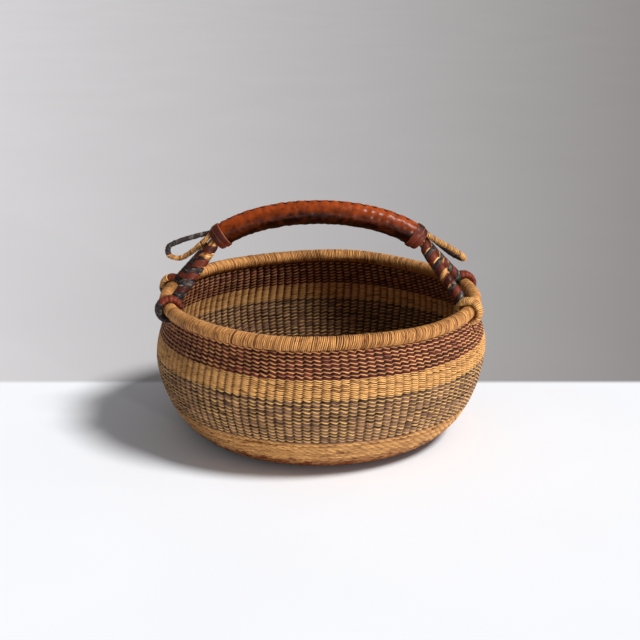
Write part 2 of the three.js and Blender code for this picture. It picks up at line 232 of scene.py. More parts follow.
@dataclass(frozen=True)
class GrassFinish:
    """Twisted grass: fine fibres along each strand, and strands that differ in colour."""

    name: str
    slot: Slot
    pale: Colour
    deep: Colour
    fleck: Colour
    fleck_share: float = 0.2
    shine: float = 0.42
    shine_range: float = 0.22
    gloss: float = 0.16
    fibre_scale: Triple = (90, 2600, 1)
    fibre_height: float = 0.35 * MM
    patch_scale: Triple = (55, 160, 1)
    patch_depth: float = 0.16
    fleck_scale: Triple = (130, 420, 1)
    fibre_shade: Colour = tint(160, 146, 134)

    @cache
    def material(self) -> bpy.types.Material:
        """Makes the finish as a material that reads the strands' own map and tone.

        Returns:
            The material, the same one at every call.
        """
        desk = ShaderDesk(self.name)
        strand = desk.strand_map()
        fibres = desk.streaks(strand, self.fibre_scale, 4.0)
        patches = desk.streaks(strand, self.patch_scale, 2.0)
        flecks = desk.streaks(strand, self.fleck_scale, 3.0)
        patch = desk.spread(patches, 0.3, 0.7, -self.patch_depth, self.patch_depth)
        share = desk.sum(desk.attribute("tone"), patch)
        body = desk.mix(desk.spread(share, 0.0, 1.0), self.deep, self.pale)
        more = 0.2 * self.fleck_share
        flecked = desk.mix(desk.spread(flecks, 0.64 - more, 0.78 - more, 0.0, 0.85), body, self.fleck)
        shade = desk.mix(desk.spread(fibres, 0.34, 0.66), self.fibre_shade, tint(255, 255, 255))
        return desk.finished({
            "Base Color": desk.mix(0.8, flecked, shade, "MULTIPLY"),
            "Roughness": desk.spread(fibres, 0.3, 0.75, self.shine, self.shine + self.shine_range),
            "Normal": desk.bump(fibres, self.fibre_height, 0.55),
            "Specular IOR Level": self.gloss,
        })


@dataclass(frozen=True)
class LeatherFinish:
    """Oiled hide: mottled colour, fine grain, creases across it with painted shade in them, and pale rubbed
    edges.
    """

    name: str
    slot: Slot
    pale: Colour
    deep: Colour
    worn: Colour
    shine: float
    coat: float
    gloss: float
    crease: float = 1.0
    shine_range: float = 0.18
    coat_shine: float = 0.26
    mottle_scale: Triple = (95, 120, 1)
    mottle_depth: float = 0.13
    crease_scale: Triple = (330, 190, 1)
    crease_height: float = 0.6 * MM
    grain_scale: float = 1500.0
    grain_height: float = 0.12 * MM

    @cache
    def material(self) -> bpy.types.Material:
        """Makes the finish as a material that reads the piece's own map, tone and rubbed edges.

        Returns:
            The material, the same one at every call.
        """
        desk = ShaderDesk(self.name)
        hide = desk.strand_map()
        mottle = desk.streaks(hide, self.mottle_scale, 4.0)
        creases = desk.streaks(hide, self.crease_scale, 5.0)
        grain = desk.add("ShaderNodeTexVoronoi", {"Vector": hide, "Scale": self.grain_scale}).outputs[0]
        patch = desk.spread(mottle, 0.3, 0.7, -self.mottle_depth, self.mottle_depth)
        share = desk.sum(patch, desk.attribute("tone"))
        body = desk.mix(desk.spread(share, 0.0, 1.0), self.deep, self.pale)
        # Painted shade: the colour darkens towards the deep one in the valleys of the crease bump.
        crease_shaded = desk.mix(desk.spread(creases, 0.32, 0.46, 0.5, 0.0), body, self.deep)
        rubbed = desk.sum(desk.attribute("worn"), desk.spread(mottle, 0.35, 0.65, 0.45, 1.0), "MULTIPLY")
        fine = desk.bump(grain, self.grain_height, 0.35)
        return desk.finished({
            "Base Color": desk.mix(rubbed, crease_shaded, self.worn),
            "Roughness": desk.spread(mottle, 0.3, 0.7, self.shine, self.shine + self.shine_range),
            "Normal": desk.bump(creases, self.crease_height, 0.5 * self.crease, fine),
            "Specular IOR Level": self.gloss,
            "Coat Weight": self.coat,
            "Coat Roughness": self.coat_shine,
        })


@dataclass(frozen=True)
class FloorFinish:
    """A plain pale table in front of a pale grey ground, with painted shade that darkens the ground to one
    side.
    """

    table: Colour = tint(238, 239, 242)
    ground_lit_side: Colour = tint(204, 202, 203)
    ground_shaded_side: Colour = tint(139, 135, 134)
    edge: float = 0.142
    edge_softness: float = 0.006
    fan: tuple[float, float] = (0.9542, 1.74)
    half_fan: float = 0.228

    def material(self) -> bpy.types.Material:
        """Makes the floor's material.

        Returns:
            The material.
        """
        desk = ShaderDesk("pale_floor")
        place = desk.add("ShaderNodeTexCoord").outputs["Object"]
        aside, back, _ = desk.add("ShaderNodeSeparateXYZ", {0: place}).outputs
        depth = desk.sum(desk.sum(back, self.fan[0], "MULTIPLY"), self.fan[1])
        across = desk.spread(desk.sum(aside, depth, "DIVIDE"), -self.half_fan, self.half_fan)
        # Painted shade: the ground darkens from left to right across the view.
        ground = desk.mix(across, self.ground_lit_side, self.ground_shaded_side)
        behind = desk.spread(back, self.edge - self.edge_softness, self.edge + self.edge_softness)
        cloud = desk.spread(desk.noise(place, 3.0, 2.0), 0.3, 0.7)
        soft = desk.mix(cloud, tint(252, 252, 252), tint(255, 255, 255))
        return desk.finished({
            "Base Color": desk.mix(1.0, desk.mix(behind, self.table, ground), soft, "MULTIPLY"),
            "Roughness": 0.8,
            "Specular IOR Level": 0.2,
        })


Finish = GrassFinish | LeatherFinish

NATURAL = GrassFinish(
    "natural_grass_weave", Slot.NATURAL, tint(255, 197, 121), tint(104, 41, 10), tint(124, 62, 22))
RIM_GRASS = GrassFinish(
    "rim_grass_strands", Slot.RIM, tint(255, 188, 111), tint(92, 36, 8), tint(108, 50, 18), 0.5)
GREY_PALE = GrassFinish(
    "grey_band_natural", Slot.NATURAL, tint(255, 202, 124), tint(62, 29, 18), tint(124, 80, 62), 0.3)
GREY = GrassFinish(
    "grey_grass_weave", Slot.GREY, tint(196, 148, 130), tint(42, 24, 23), tint(150, 106, 84))
MAROON_PALE = GrassFinish(
    "maroon_band_natural", Slot.NATURAL, tint(255, 184, 118), tint(62, 14, 9), tint(110, 34, 26), 0.3)
MAROON = GrassFinish(
    "maroon_grass_weave", Slot.MAROON, tint(164, 72, 68), tint(50, 11, 14), tint(132, 56, 46))
# The stakes behind the rounds, coloured dark as painted shade.
STAKE_SHADE = GrassFinish(
    "stake_straw_shade", Slot.NATURAL, tint(66, 32, 12), tint(30, 13, 4), tint(24, 10, 4))
# Painted sheen: the dark grass's pale grey flecks stand for light glinting along its strands.
DARK = GrassFinish(
    "dark_grass_strands", Slot.DARK, tint(86, 74, 72), tint(9, 6, 7), tint(168, 156, 132), 0.35, 0.4)
GRIP_HIDE = LeatherFinish(
    "grip_leather_hide", Slot.GRIP, tint(166, 69, 20), tint(24, 5, 1), tint(204, 132, 92),
    shine=0.36, coat=0.22, gloss=0.05, crease=0.6)
STRAP_HIDE = LeatherFinish(
    "strap_leather_hide", Slot.STRAP, tint(112, 46, 28), tint(32, 11, 7), tint(176, 112, 78),
    shine=0.4, coat=0.05, gloss=0.12)
THONG_HIDE = LeatherFinish(
    "lace_thong_hide", Slot.THONG, tint(50, 20, 10), tint(18, 7, 3), tint(110, 66, 44),
    shine=0.5, coat=0.0, gloss=0.2)


class StrandStock:
    """Plain strands that the pieces bend to shape: closed rings, and rods with closed ends."""

    section_radius: float = 0.25

    @classmethod
    @cache
    def ring(cls, steps: int, sides: int) -> bpy.types.Mesh:
        """Makes a round ring about the upright axis, one unit in radius.

        Args:
            steps: How many steps go round it.
            sides: How many sides its section has.

        Returns:
            The ring as a mesh.
        """
        shape = bmesh.new()
        bmesh.ops.create_circle(shape, cap_ends=False, segments=sides, radius=cls.section_radius)
        upright = Matrix.Rotation(math.pi / 2, 3, "X")
        bmesh.ops.rotate(shape, verts=shape.verts, cent=(0, 0, 0), matrix=upright)
        bmesh.ops.translate(shape, verts=shape.verts, vec=(1, 0, 0))
        geometry = shape.verts[:] + shape.edges[:]
        bmesh.ops.spin(shape, geom=geometry, cent=(0, 0, 0), axis=(0, 0, 1), dvec=(0, 0, 0),
                       angle=FULL_TURN, steps=steps, use_merge=True, use_duplicate=False)
        bmesh.ops.recalc_face_normals(shape, faces=shape.faces)
        return cls.saved(shape, "ring_stock")

    @classmethod
    @cache
    def rod(cls, steps: int, sides: int) -> bpy.types.Mesh:
        """Makes a straight rod along the upright axis, one unit long, with closed ends.

        Args:
            steps: How many steps go along it.
            sides: How many sides its section has.

        Returns:
            The rod as a mesh.
        """
        shape = bmesh.new()
        bmesh.ops.create_circle(shape, cap_ends=False, segments=sides, radius=cls.section_radius)
        geometry = shape.verts[:] + shape.edges[:]
        bmesh.ops.spin(shape, geom=geometry, cent=(0, 0, 0), axis=(0, 0, 1), dvec=(0, 0, 1 / steps),
                       angle=0.0, steps=steps, use_merge=False, use_duplicate=False)
        bmesh.ops.holes_fill(shape, edges=shape.edges, sides=sides)
        bmesh.ops.recalc_face_normals(shape, faces=shape.faces)
        return cls.saved(shape, "rod_stock")

    @staticmethod
    def saved(shape: bmesh.types.BMesh, name: str) -> bpy.types.Mesh:
        """Writes a shape under way to a mesh and lets the shape go.

        Args:
            shape: The shape.
            name: The mesh's name.

        Returns:
            The mesh.
        """
        mesh = bpy.data.meshes.new(name)
        shape.to_mesh(mesh)
        shape.free()
        return mesh


class StrandMesh:
    """Many copies of one plain strand in one mesh, to be bent, mapped and toned together."""

    def __init__(self, stock: bpy.types.Mesh, copies: int = 1) -> None:
        """Lays the copies into one mesh.

        Args:
            stock: The plain strand.
            copies: How many of it there are.
        """
        shape = bmesh.new()
        for _ in range(copies):
            shape.from_mesh(stock)
        self.mesh = StrandStock.saved(shape, "strands")
        self.copies = copies
        flat = np.empty(len(self.mesh.vertices) * 3)
        self.mesh.vertices.foreach_get("co", flat)
        self.rest = flat.reshape(copies, -1, 3)

    def turns(self) -> tuple[np.ndarray, np.ndarray]:
        """Returns each ring vertex's turn about the axis and its turn about the section."""
        x, y, z = np.moveaxis(self.rest, -1, 0)
        return np.arctan2(y, x) % FULL_TURN, np.arctan2(z, np.hypot(x, y) - 1)

    def reach(self) -> tuple[np.ndarray, np.ndarray]:
        """Returns each rod vertex's share of the length and its turn about the section."""
        x, y, z = np.moveaxis(self.rest, -1, 0)
        return np.clip(z, 0, 1), np.arctan2(y, x)

    def bend(self, places: np.ndarray) -> None:
        """Moves every vertex to its place."""
        self.mesh.vertices.foreach_set("co", places.astype(np.float32).ravel())
        self.mesh.update()

    def spread_out(self, values: float | np.ndarray) -> np.ndarray:
        """Returns one value for every vertex of every copy, in the mesh's order."""
        return np.broadcast_to(values, self.rest.shape[:2]).ravel()

    def map(self, along: np.ndarray, around: np.ndarray, length: float | np.ndarray, girth: float,
            wraps: bool, seed: int) -> None:
        """Lays the strands' own map on the mesh, in metres along and around each strand.

        Args:
            along: Each vertex's turn or share along its strand.
            around: Each vertex's turn about the section.
            length: Metres for one unit of along.
            girth: Metres for one unit of around.
            wraps: Whether along comes round to its start.
            seed: Picks where each strand's map starts.
        """
        corners = np.empty(len(self.mesh.loops), np.int64)
        self.mesh.loops.foreach_get("vertex_index", corners)
        starts, totals = np.empty((2, len(self.mesh.polygons)), np.int64)
        self.mesh.polygons.foreach_get("loop_start", starts)
        self.mesh.polygons.foreach_get("loop_total", totals)
        first = corners[np.repeat(starts, totals)]
        offsets = np.random.default_rng(seed).uniform(0, 5, (self.copies, 1))
        shift = self.spread_out(offsets)[corners]
        columns = []
        for values, scale, closes in ((along, length, wraps), (around, girth, True)):
            flat = self.spread_out(values)
            here = flat[corners]
            if closes:
                here = here - np.round((here - flat[first]) / FULL_TURN) * FULL_TURN
            columns.append(here * self.spread_out(scale)[corners] + shift)
        layer = self.mesh.uv_layers.new(name="strand")
        layer.data.foreach_set("uv", np.stack(columns, -1).astype(np.float32).ravel())

    def mark(self, name: str, values: float | np.ndarray) -> None:
        """Keeps a value on each vertex for the finish to read."""
        kept = self.mesh.attributes.new(name, "FLOAT", "POINT")
        kept.data.foreach_set("value", self.spread_out(values).astype(np.float32))

    def piece(self, name: str, node: str, carrier: Carrier, *finishes: Finish) -> bpy.types.Object:
        """Puts the mesh into the scene as a named piece in the place of a CAD node.

        Args:
            name: The piece's name.
            node: The CAD node that it replaces.
            carrier: What carries it.
            *finishes: Its finishes; the first one gives it its slot.

        Returns:
            The new object.
        """
        self.mesh.name = name
        for finish in finishes:
            self.mesh.materials.append(finish.material())
        self.mesh.polygons.foreach_set("use_smooth", np.ones(len(self.mesh.polygons), bool))
        made = bpy.data.objects.new(name, self.mesh)
        bpy.context.scene.collection.objects.link(made)
        if carrier is Carrier.BOTH:
            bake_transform(made)
        else:
            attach(made, carrier.value)
        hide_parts(node)
        LOG.info("%s: %d strands, %d faces", name, self.copies, len(self.mesh.polygons))
        return made


class Path:
    """A middle line with a direction across it and one outwards at every place."""

    def __init__(self, points: np.ndarray, level: Triple | None = None, closed: bool = False) -> None:
        """Measures a line of points and finds its directions.

        Args:
            points: The places along the line.
            level: The direction that across keeps closest to; without it, across is carried unturned.
            closed: Whether the line comes back to its start.
        """
        self.points = points
        self.closed = closed
        steps = np.linalg.norm(np.diff(points, axis=0), axis=1)
        self.marks = np.concatenate([[0.0], np.cumsum(steps)])
        self.length = float(self.marks[-1])
        before, after = np.vstack([points[:1], points[:-1]]), np.vstack([points[1:], points[-1:]])
        if closed:
            before[0], after[-1] = points[-2], points[1]
        self.along = self.unit(after - before)
        self.across = self.levelled(level) if level else self.carried()
        self.out = np.cross(self.along, self.across)

    @staticmethod
    def unit(vectors: np.ndarray) -> np.ndarray:
        """Returns the vectors at length one."""
        return vectors / np.linalg.norm(vectors, axis=-1, keepdims=True)

    def levelled(self, level: Triple) -> np.ndarray:
        """Returns the directions across that stay closest to a level direction."""
        base = np.array(level)
        return self.unit(base - self.along * (self.along @ base)[:, None])

    def carried(self) -> np.ndarray:
        """Carries a direction across along the line without turning it.

        Returns:
            The direction at every place.
        """
        across = [self.unit(np.cross(self.along[0], (0.3, 0.9, 0.2)))]
        for tangent in self.along[1:]:
            last = across[-1]
            across.append(self.unit(last - tangent * (last @ tangent)))
        return np.array(across)

    def read(self, values: np.ndarray, share: np.ndarray) -> np.ndarray:
        """Returns the values at shares of the length."""
        mark = (share % 1.0 if self.closed else np.clip(share, 0, 1)) * self.length
        return np.stack([np.interp(mark, self.marks, values[:, k]) for k in range(3)], -1)

    def lay(self, share: np.ndarray, across: np.ndarray, out: np.ndarray) -> np.ndarray:
        """Finds the places beside the line.

        Args:
            share: Shares of the length; past the ends the line runs on straight.
            across: Metres across.
            out: Metres outwards.

        Returns:
            The places.
        """
        beyond = np.zeros_like(share) if self.closed else share - np.clip(share, 0, 1)
        middle = self.read(self.points, share)
        middle = middle + self.read(self.along, share) * (beyond * self.length)[..., None]
        sideways = self.read(self.across, share) * across[..., None]
        return middle + sideways + self.read(self.out, share) * out[..., None]

    def round(self, share: np.ndarray, turn: np.ndarray, reach: np.ndarray) -> np.ndarray:
        """Returns the places at a turn about the line and a distance from it."""
        return self.lay(share, reach * np.cos(turn), reach * np.sin(turn))


@dataclass(frozen=True)
class Swell:
    """The slow unevenness of a handmade basket, as a few waves round it: count, millimetres and start."""

    rise: Waves = ((3, 0.7, math.pi), (4, 0.8, math.pi / 2), (5, 1.3, math.pi / 2))
    spread: Waves = ((2, 0.5, 2.9), (3, 0.5, 1.0), (4, 0.4, 0.2))
    aside: float = 2.5 * MM
    aside_height: float = 125 * MM
    aside_reach: float = 26 * MM
    least_radius: float = 20 * MM

    @staticmethod
    def of(turn: np.ndarray, waves: Waves) -> np.ndarray:
        """Returns the waves' sum in metres, stilled at the sides where the handle is tied."""
        total = sum(size * np.sin(count * turn + start) for count, size, start in waves)
        return total * np.sin(turn) ** 2 * MM

    def moved(self, places: np.ndarray, height_share: np.ndarray) -> np.ndarray:
        """Moves places by the unevenness.

        Args:
            places: The places on the wall or rim.
            height_share: How much of it each place takes, 0 at the floor and 1 at the rim.

        Returns:
            The moved places.
        """
        x, y, z = np.moveaxis(places, -1, 0)
        turn = np.arctan2(y, x)
        radius = np.maximum(np.hypot(x, y), self.least_radius)
        grow = 1 + self.of(turn, self.spread) * height_share / radius
        aside = self.aside * np.exp(-((z - self.aside_height) / self.aside_reach) ** 2)
        return np.stack([x * grow + aside, y * grow, z + self.of(turn, self.rise) * height_share], -1)


@dataclass(frozen=True)
class BowlOutline:
    """The bowl's section: flat base, round belly, drawn in to the rim. Metres."""

    base_radius: float = 128 * MM
    belly_radius: float = 198 * MM
    belly_height: float = 101 * MM
    rim_radius: float = 186.3 * MM
    top: float = 155.5 * MM
    wall: float = 5 * MM
    base_sweep: float = 0.64
    belly_drop: float = 0.65
    belly_rise: float = 0.42
    shoulder: float = 0.72
    shoulder_draw: float = 0.92
    floor_steps: int = 60
    curve_steps: int = 240

    def outside(self) -> np.ndarray:
        """Draws the outside from the middle of the floor to the top.

        Returns:
            Its places as radius and height.
        """
        t = np.linspace(0, 1, self.curve_steps)[:, None]
        bend = [(1 - t) ** 3, 3 * (1 - t) ** 2 * t, 3 * (1 - t) * t ** 2, t ** 3]
        belly, height = self.belly_radius, self.belly_height
        sweep = self.base_radius + (belly - self.base_radius) * self.base_sweep
        rise = self.top - height
        neck = belly + (self.rim_radius - belly) * self.shoulder_draw
        lower = [(self.base_radius, 0), (sweep, 0), (belly, height * self.belly_drop), (belly, height)]
        upper = [(belly, height), (belly, height + rise * self.belly_rise),
                 (neck, height + rise * self.shoulder), (self.rim_radius, self.top)]
        radii = np.linspace(0, self.base_radius, self.floor_steps)[:-1]
        curves = [sum(b * np.array(p) for b, p in zip(bend, points)) for points in (lower, upper)]
        return np.vstack([np.stack([radii, np.zeros_like(radii)], -1), curves[0][:-1], curves[1]])

    def middle(self) -> tuple[np.ndarray, np.ndarray, np.ndarray, np.ndarray]:
        """Measures the middle of the wall's thickness.

        Returns:
            Lengths along it, its places, its outward directions and the heights outside it.
        """
        outside = self.outside()
        along = Path.unit(np.gradient(outside, axis=0))
        outward = np.stack([along[:, 1], -along[:, 0]], -1)
        places = outside - outward * self.wall / 2
        places[0, 0] = 0.0
        steps = np.linalg.norm(np.diff(places, axis=0), axis=1)
        return np.concatenate([[0.0], np.cumsum(steps)]), places, outward, outside[:, 1]


@dataclass(frozen=True)
class Weft:
    """One round of weft: where it lies along the wall and how many stakes it crosses."""

    mark: float
    stakes: int
    number: int


@dataclass(frozen=True)
class Band:
    """Rounds of one colour in one wall section, and how their colour and relief vary."""

    name: str
    node: str
    finish: GrassFinish
    seed: int
    tone: float
    spread: float
    stray_limit: float
    stray_tone: float
    # seam: how strongly each round darkens towards its edges, as painted shade in the grooves between
    # rounds.
    seam: float = 1.0
    relief: float = 1.0
    twill: float = 0.0


@dataclass
class WovenBowl:
    """The woven bowl: rounds of weft over stakes, with bands where dyed and natural rounds take turns."""

    outline: BowlOutline
    swell: Swell
    slits: list[tuple[float, float]]
    stakes: int = 120
    stake_steps: tuple[tuple[int, float], ...] = ((1, 104 * MM), (2, 52 * MM), (4, 26 * MM), (8, 12 * MM))
    fewest_stakes: int = 8
    pitch: float = 2.2 * MM
    steps_per_stake: int = 8
    sides: int = 6
    half_height: float = 1.12 * MM
    wave: float = 0.95 * MM
    wave_full: float = 90 * MM
    stray: float = 0.22 * MM
    outer_reach: tuple[float, float] = (0.45 * MM, 2.45 * MM)
    inner_reach: tuple[float, float] = (0.35 * MM, 2.3 * MM)
    strand_girth: float = 1.5 * MM
    sway: tuple[float, ...] = (0.0, 0.95, 0.7, 0.36, 0.0, -0.36, -0.7, -0.95, 0.0)
    crown: tuple[float, ...] = (0.2, 0.58, 0.86, 0.97, 1.0, 0.97, 0.86, 0.58, 0.2)
    dip: tuple[float, ...] = (0.0, 0.55, 0.88, 0.98, 1.0, 0.98, 0.88, 0.55, 0.0)
    slit_half_width: float = 7.5 * MM
    slit_half_height: float = 4.2 * MM
    slit_fade: float = 7 * MM
    slit_lap: float = 0.9 * MM
    # Painted shadow: at one slit, a narrow strip of the wall reaching down below the ring is drawn black as
    # the shadow in the slit.
    shaded_slit: int = 2
    slit_shade_half_width: float = 2.4 * MM
    slit_shade_reach: tuple[float, float] = (-2 * MM, 13 * MM)
    # Painted shade: below these heights, with a jagged edge, the rounds darken towards the floor, as the
    # shade under the bowl.
    worn_height: float = 11 * MM
    worn_jag: float = 4 * MM
    worn_fade: float = 10 * MM
    run_stakes: int = 3
    most_rounds: int = 16
    least_height: float = 0.1 * MM
    knot_radius: float = 7.5 * MM
    first_round: float = 6 * MM
    band_feet: Triple = (45 * MM, 102 * MM, 124 * MM)
    bands: tuple[Band, ...] = (
        Band("base_wefts", "base_weave", NATURAL, seed=100, tone=0.76, spread=0.2, stray_limit=1.6,
             stray_tone=0.35, seam=0.9, relief=0.5, twill=0.3),
        Band("grey_dyed_wefts", "grey_band", GREY, seed=300, tone=0.38, spread=0.15, stray_limit=1.5,
             stray_tone=0.8),
        Band("grey_natural_wefts", "grey_band", GREY_PALE, seed=350, tone=0.92, spread=0.2, stray_limit=1.6,
             stray_tone=0.4),
        Band("natural_wefts", "natural_band", NATURAL, seed=400, tone=0.96, spread=0.18, stray_limit=1.8,
             stray_tone=0.4, seam=0.7, relief=0.85),
        Band("maroon_dyed_wefts", "maroon_band", MAROON, seed=500, tone=0.3, spread=0.13, stray_limit=1.6,
             stray_tone=0.8),
        Band("maroon_natural_wefts", "maroon_band", MAROON_PALE, seed=550, tone=0.95, spread=0.18,
             stray_limit=1.5, stray_tone=0.4),
    )

    def __post_init__(self) -> None:
        """Measures the wall once for all the rounds."""
        self.lengths, self.places, self.outward, self.heights = self.outline.middle()

    def mark_at(self, height: float) -> float:
        """Returns how far along the wall the outside reaches a height."""
        wall = slice(self.outline.floor_steps, None)
        return float(np.interp(height, self.heights[wall], self.lengths[wall]))

    def radius_at(self, mark: np.ndarray) -> np.ndarray:
        """Returns the wall's radius at marks along it."""
        return np.interp(mark, self.lengths, self.places[:, 0])

    def stakes_at(self, radius: float) -> int:
        """Counts the stakes at a radius; there are fewer towards the middle, where they start.

        Args:
            radius: The radius.

        Returns:
            The number of stakes.
        """
        for share, least in self.stake_steps:
            if radius >= least:
                return self.stakes // share
        return self.fewest_stakes

    def rounds(self, start: float, end: float) -> list[Weft]:
        """Lays out the rounds between two marks along the wall.

        Args:
            start: The mark where the first round's lower side lies.
            end: The mark where the last round's upper side lies.

        Returns:
            The rounds, from the lowest up.
        """
        count = max(1, round((end - start) / self.pitch))
        marks = start + (np.arange(count) + 0.5) * (end - start) / count
        radii = self.radius_at(marks)
        return [Weft(float(m), self.stakes_at(r), k) for k, (m, r) in enumerate(zip(marks, radii))]

    @staticmethod
    def per_stake(lane: np.ndarray, stakes: int, seed: int, smooth: bool = False) -> np.ndarray:
        """Draws a seeded value for each stake of each round.

        Args:
            lane: Each vertex's place round the bowl, in stakes.
            stakes: How many stakes there are.
            seed: Picks the values.
            smooth: Whether they run into each other between stakes; otherwise each is held over its stake.

        Returns:
            A value for each vertex.
        """
        table = np.random.default_rng(seed).normal(size=(lane.shape[0], stakes))
        rows = np.arange(lane.shape[0])[:, None]
        whole = np.floor(lane + HAIR)
        cell = whole.astype(int) % stakes
        if not smooth:
            return table[rows, cell]
        part = lane - whole
        return table[rows, cell] * (1 - part) + table[rows, (cell + 1) % stakes] * part

    def parted(self, mark: np.ndarray, turn: np.ndarray, radius: np.ndarray) -> np.ndarray:
        """Parts strands where the handle's rings pass through the wall.

        Args:
            mark: Each vertex's mark along the wall.
            turn: Its turn round the bowl.
            radius: Its radius.

        Returns:
            The marks after parting.
        """
        moved = mark.copy()
        for slit_turn, slit_mark in self.slits:
            aside = turn_from(turn, slit_turn) * radius / self.slit_half_width
            opening = self.slit_half_height * np.sqrt(np.clip(1 - aside ** 2, 0, 1))
            away = mark - slit_mark
            moved += np.where(away < 0, -1, 1) * opening * np.exp(-np.abs(away) / self.slit_fade)
        return moved

    def stand(self, strands: StrandMesh, turn: np.ndarray, mark: np.ndarray, off: np.ndarray) -> np.ndarray:
        """Bends strands to the uneven wall.

        Args:
            strands: The strands.
            turn: Each vertex's turn round the bowl.
            mark: Its mark along the wall.
            off: How far outwards of the wall's middle it lies.

        Returns:
            Each vertex's height before the unevenness.
        """
        columns = (*self.places.T, *self.outward.T)
        radius, height, outwards, upwards = (np.interp(mark, self.lengths, column) for column in columns)
        r = np.maximum(radius + outwards * off, 0.0)
        z = np.maximum(height + upwards * off, self.least_height)
        share = np.clip(z / self.outline.top, 0, 1) ** 2
        strands.bend(self.swell.moved(np.stack([r * np.cos(turn), r * np.sin(turn), z], -1), share))
        return z

    def weave(self, name: str, wefts: list[Weft], band: Band, seed: int) -> None:
        """Makes one piece of rounds that cross the same number of stakes.

        Args:
            name: The piece's name.
            wefts: Its rounds.
            band: The band that they belong to.
            seed: Picks its unevenness.
        """
        stakes = wefts[0].stakes
        stock = StrandStock.ring(stakes * self.steps_per_stake, self.sides)
        strands = StrandMesh(stock, len(wefts))
        turn, section = strands.turns()
        lane = turn * stakes / FULL_TURN
        order = np.array([weft.number for weft in wefts])[:, None]
        part = (lane + band.twill * order + HAIR) % 1.0
        profiles = (self.sway, self.crown, self.dip)
        wave, crown, dip = (np.interp(part, np.linspace(0, 1, len(p)), p) for p in profiles)
        crown = 1 - band.relief * (1 - crown)
        uneven = self.per_stake(lane, stakes, seed, True)
        thick = self.per_stake(lane, stakes, seed + 1, True)
        centre = np.array([weft.mark for weft in wefts])[:, None]
        sway = self.wave * band.relief * np.clip(centre / self.wave_full, 0.35, 1) * wave
        path = centre + sway * (1 + 0.2 * thick) + self.stray * uneven
        radius = self.radius_at(path)
        path = self.parted(path, turn, radius)
        outside = np.cos(section) >= 0
        out_reach = self.outer_reach[0] + self.outer_reach[1] * crown * (1 + 0.08 * thick)
        in_reach = self.inner_reach[0] + self.inner_reach[1] * dip * (1 + 0.07 * uneven)
        off = np.where(outside, out_reach, in_reach) * fuller(np.cos(section), 0.85)
        swelling = 0.5 + 0.5 * np.where(outside, crown, dip) ** 0.7
        mark = path + self.half_height * swelling * (1 + 0.1 * thick) * np.sin(section)
        height = self.stand(strands, turn, mark, off)
        strands.map(turn, section, radius, self.strand_girth, True, seed)
        tone = self.tones(band, lane, stakes, seed)
        # Painted shadow: the tone drops to black in a narrow strip at one slit, below its ring.
        slit_turn, slit_mark = self.slits[self.shaded_slit]
        aside = np.abs(turn_from(turn, slit_turn) * radius)
        below = slit_mark - path
        in_slit_shade = (aside < self.slit_shade_half_width) & (below > self.slit_shade_reach[0])
        tone = np.where(in_slit_shade & (below < self.slit_shade_reach[1]), 0.0, tone)
        # Painted shade: the underside and the lowest outer rounds darken towards the floor.
        foot = self.worn_height + self.worn_jag * self.per_stake(lane, stakes, seed + 2)
        worn = np.where(np.cos(section) > -0.3, np.clip((height - foot) / self.worn_fade, 0.08, 1), 1.0)
        # Painted shade in the valleys between stakes: each round darkens away from its crown, much more on
        # the inside.
        painted_valley_shade = np.where(np.cos(section) > 0, 0.6 + 0.4 * crown, 0.08 + 0.92 * crown ** 1.4)
        # Painted shade in the grooves between rounds: each round darkens towards its upper and lower edges.
        seam = 1 - band.seam * np.sin(section) ** 2
        strands.mark("tone", np.clip(tone, 0, 1) * painted_valley_shade * seam * worn)
        strands.piece(name, band.node, Carrier.BASKET, band.finish)

    def tones(self, band: Band, lane: np.ndarray, stakes: int, seed: int) -> np.ndarray:
        """Draws the tones of rounds: by stake, by run of stakes and by round, with strays among them.

        Args:
            band: The band that the rounds belong to.
            lane: Each vertex's place round the bowl, in stakes.
            stakes: How many stakes there are.
            seed: Picks the tones.

        Returns:
            A tone for each vertex.
        """
        held = self.per_stake(lane, stakes, seed + 2)
        run = self.per_stake(np.floor(lane / self.run_stakes + HAIR), stakes, seed + 4)
        by_round = np.random.default_rng(seed + 3).normal(size=(lane.shape[0], 1))
        tone = band.tone + band.spread * (0.6 * held + 0.6 * run + 0.5 * by_round)
        stray = self.per_stake(lane, stakes, seed + 5) > band.stray_limit
        return np.where(stray, band.stray_tone, tone)

    def weave_band(self, band: Band, wefts: list[Weft]) -> None:
        """Weaves a band's rounds in pieces of a few rounds each.

        Args:
            band: The band.
            wefts: Its rounds.
        """
        groups: list[list[Weft]] = []
        for weft in wefts:
            if groups and groups[-1][0].stakes == weft.stakes and len(groups[-1]) < self.most_rounds:
                groups[-1].append(weft)
            else:
                groups.append([weft])
        for k, group in enumerate(groups):
            name = band.name if len(groups) == 1 else f"{band.name}_{k + 1}"
            self.weave(name, group, band, band.seed + 10 * k)

    def lining(self, name: str, node: str, start: float, end: float, laps: tuple[float, float]) -> None:
        """Makes the thin layer of stakes that shows between the rounds of one wall section, coloured dark
        as painted shade.

        Args:
            name: The piece's name.
            node: The wall section that it belongs to.
            start: The mark along the wall where it begins.
            end: The mark where it ends.
            laps: How far its first and last edges reach up once the strands are parted.
        """
        layer = StrandMesh(StrandStock.ring(self.stakes, 64))
        turn, section = layer.turns()
        share = np.abs(section) / math.pi
        mark = start + (end - start) * share
        mark = self.parted(mark, turn, self.radius_at(mark)) + laps[0] + (laps[1] - laps[0]) * share
        self.stand(layer, turn, mark, 0.3 * MM * np.sin(section))
        layer.map(turn, section, 190 * MM, 20 * MM, True, 9)
        layer.mark("tone", 0.3)
        layer.piece(name, node, Carrier.BASKET, STAKE_SHADE)

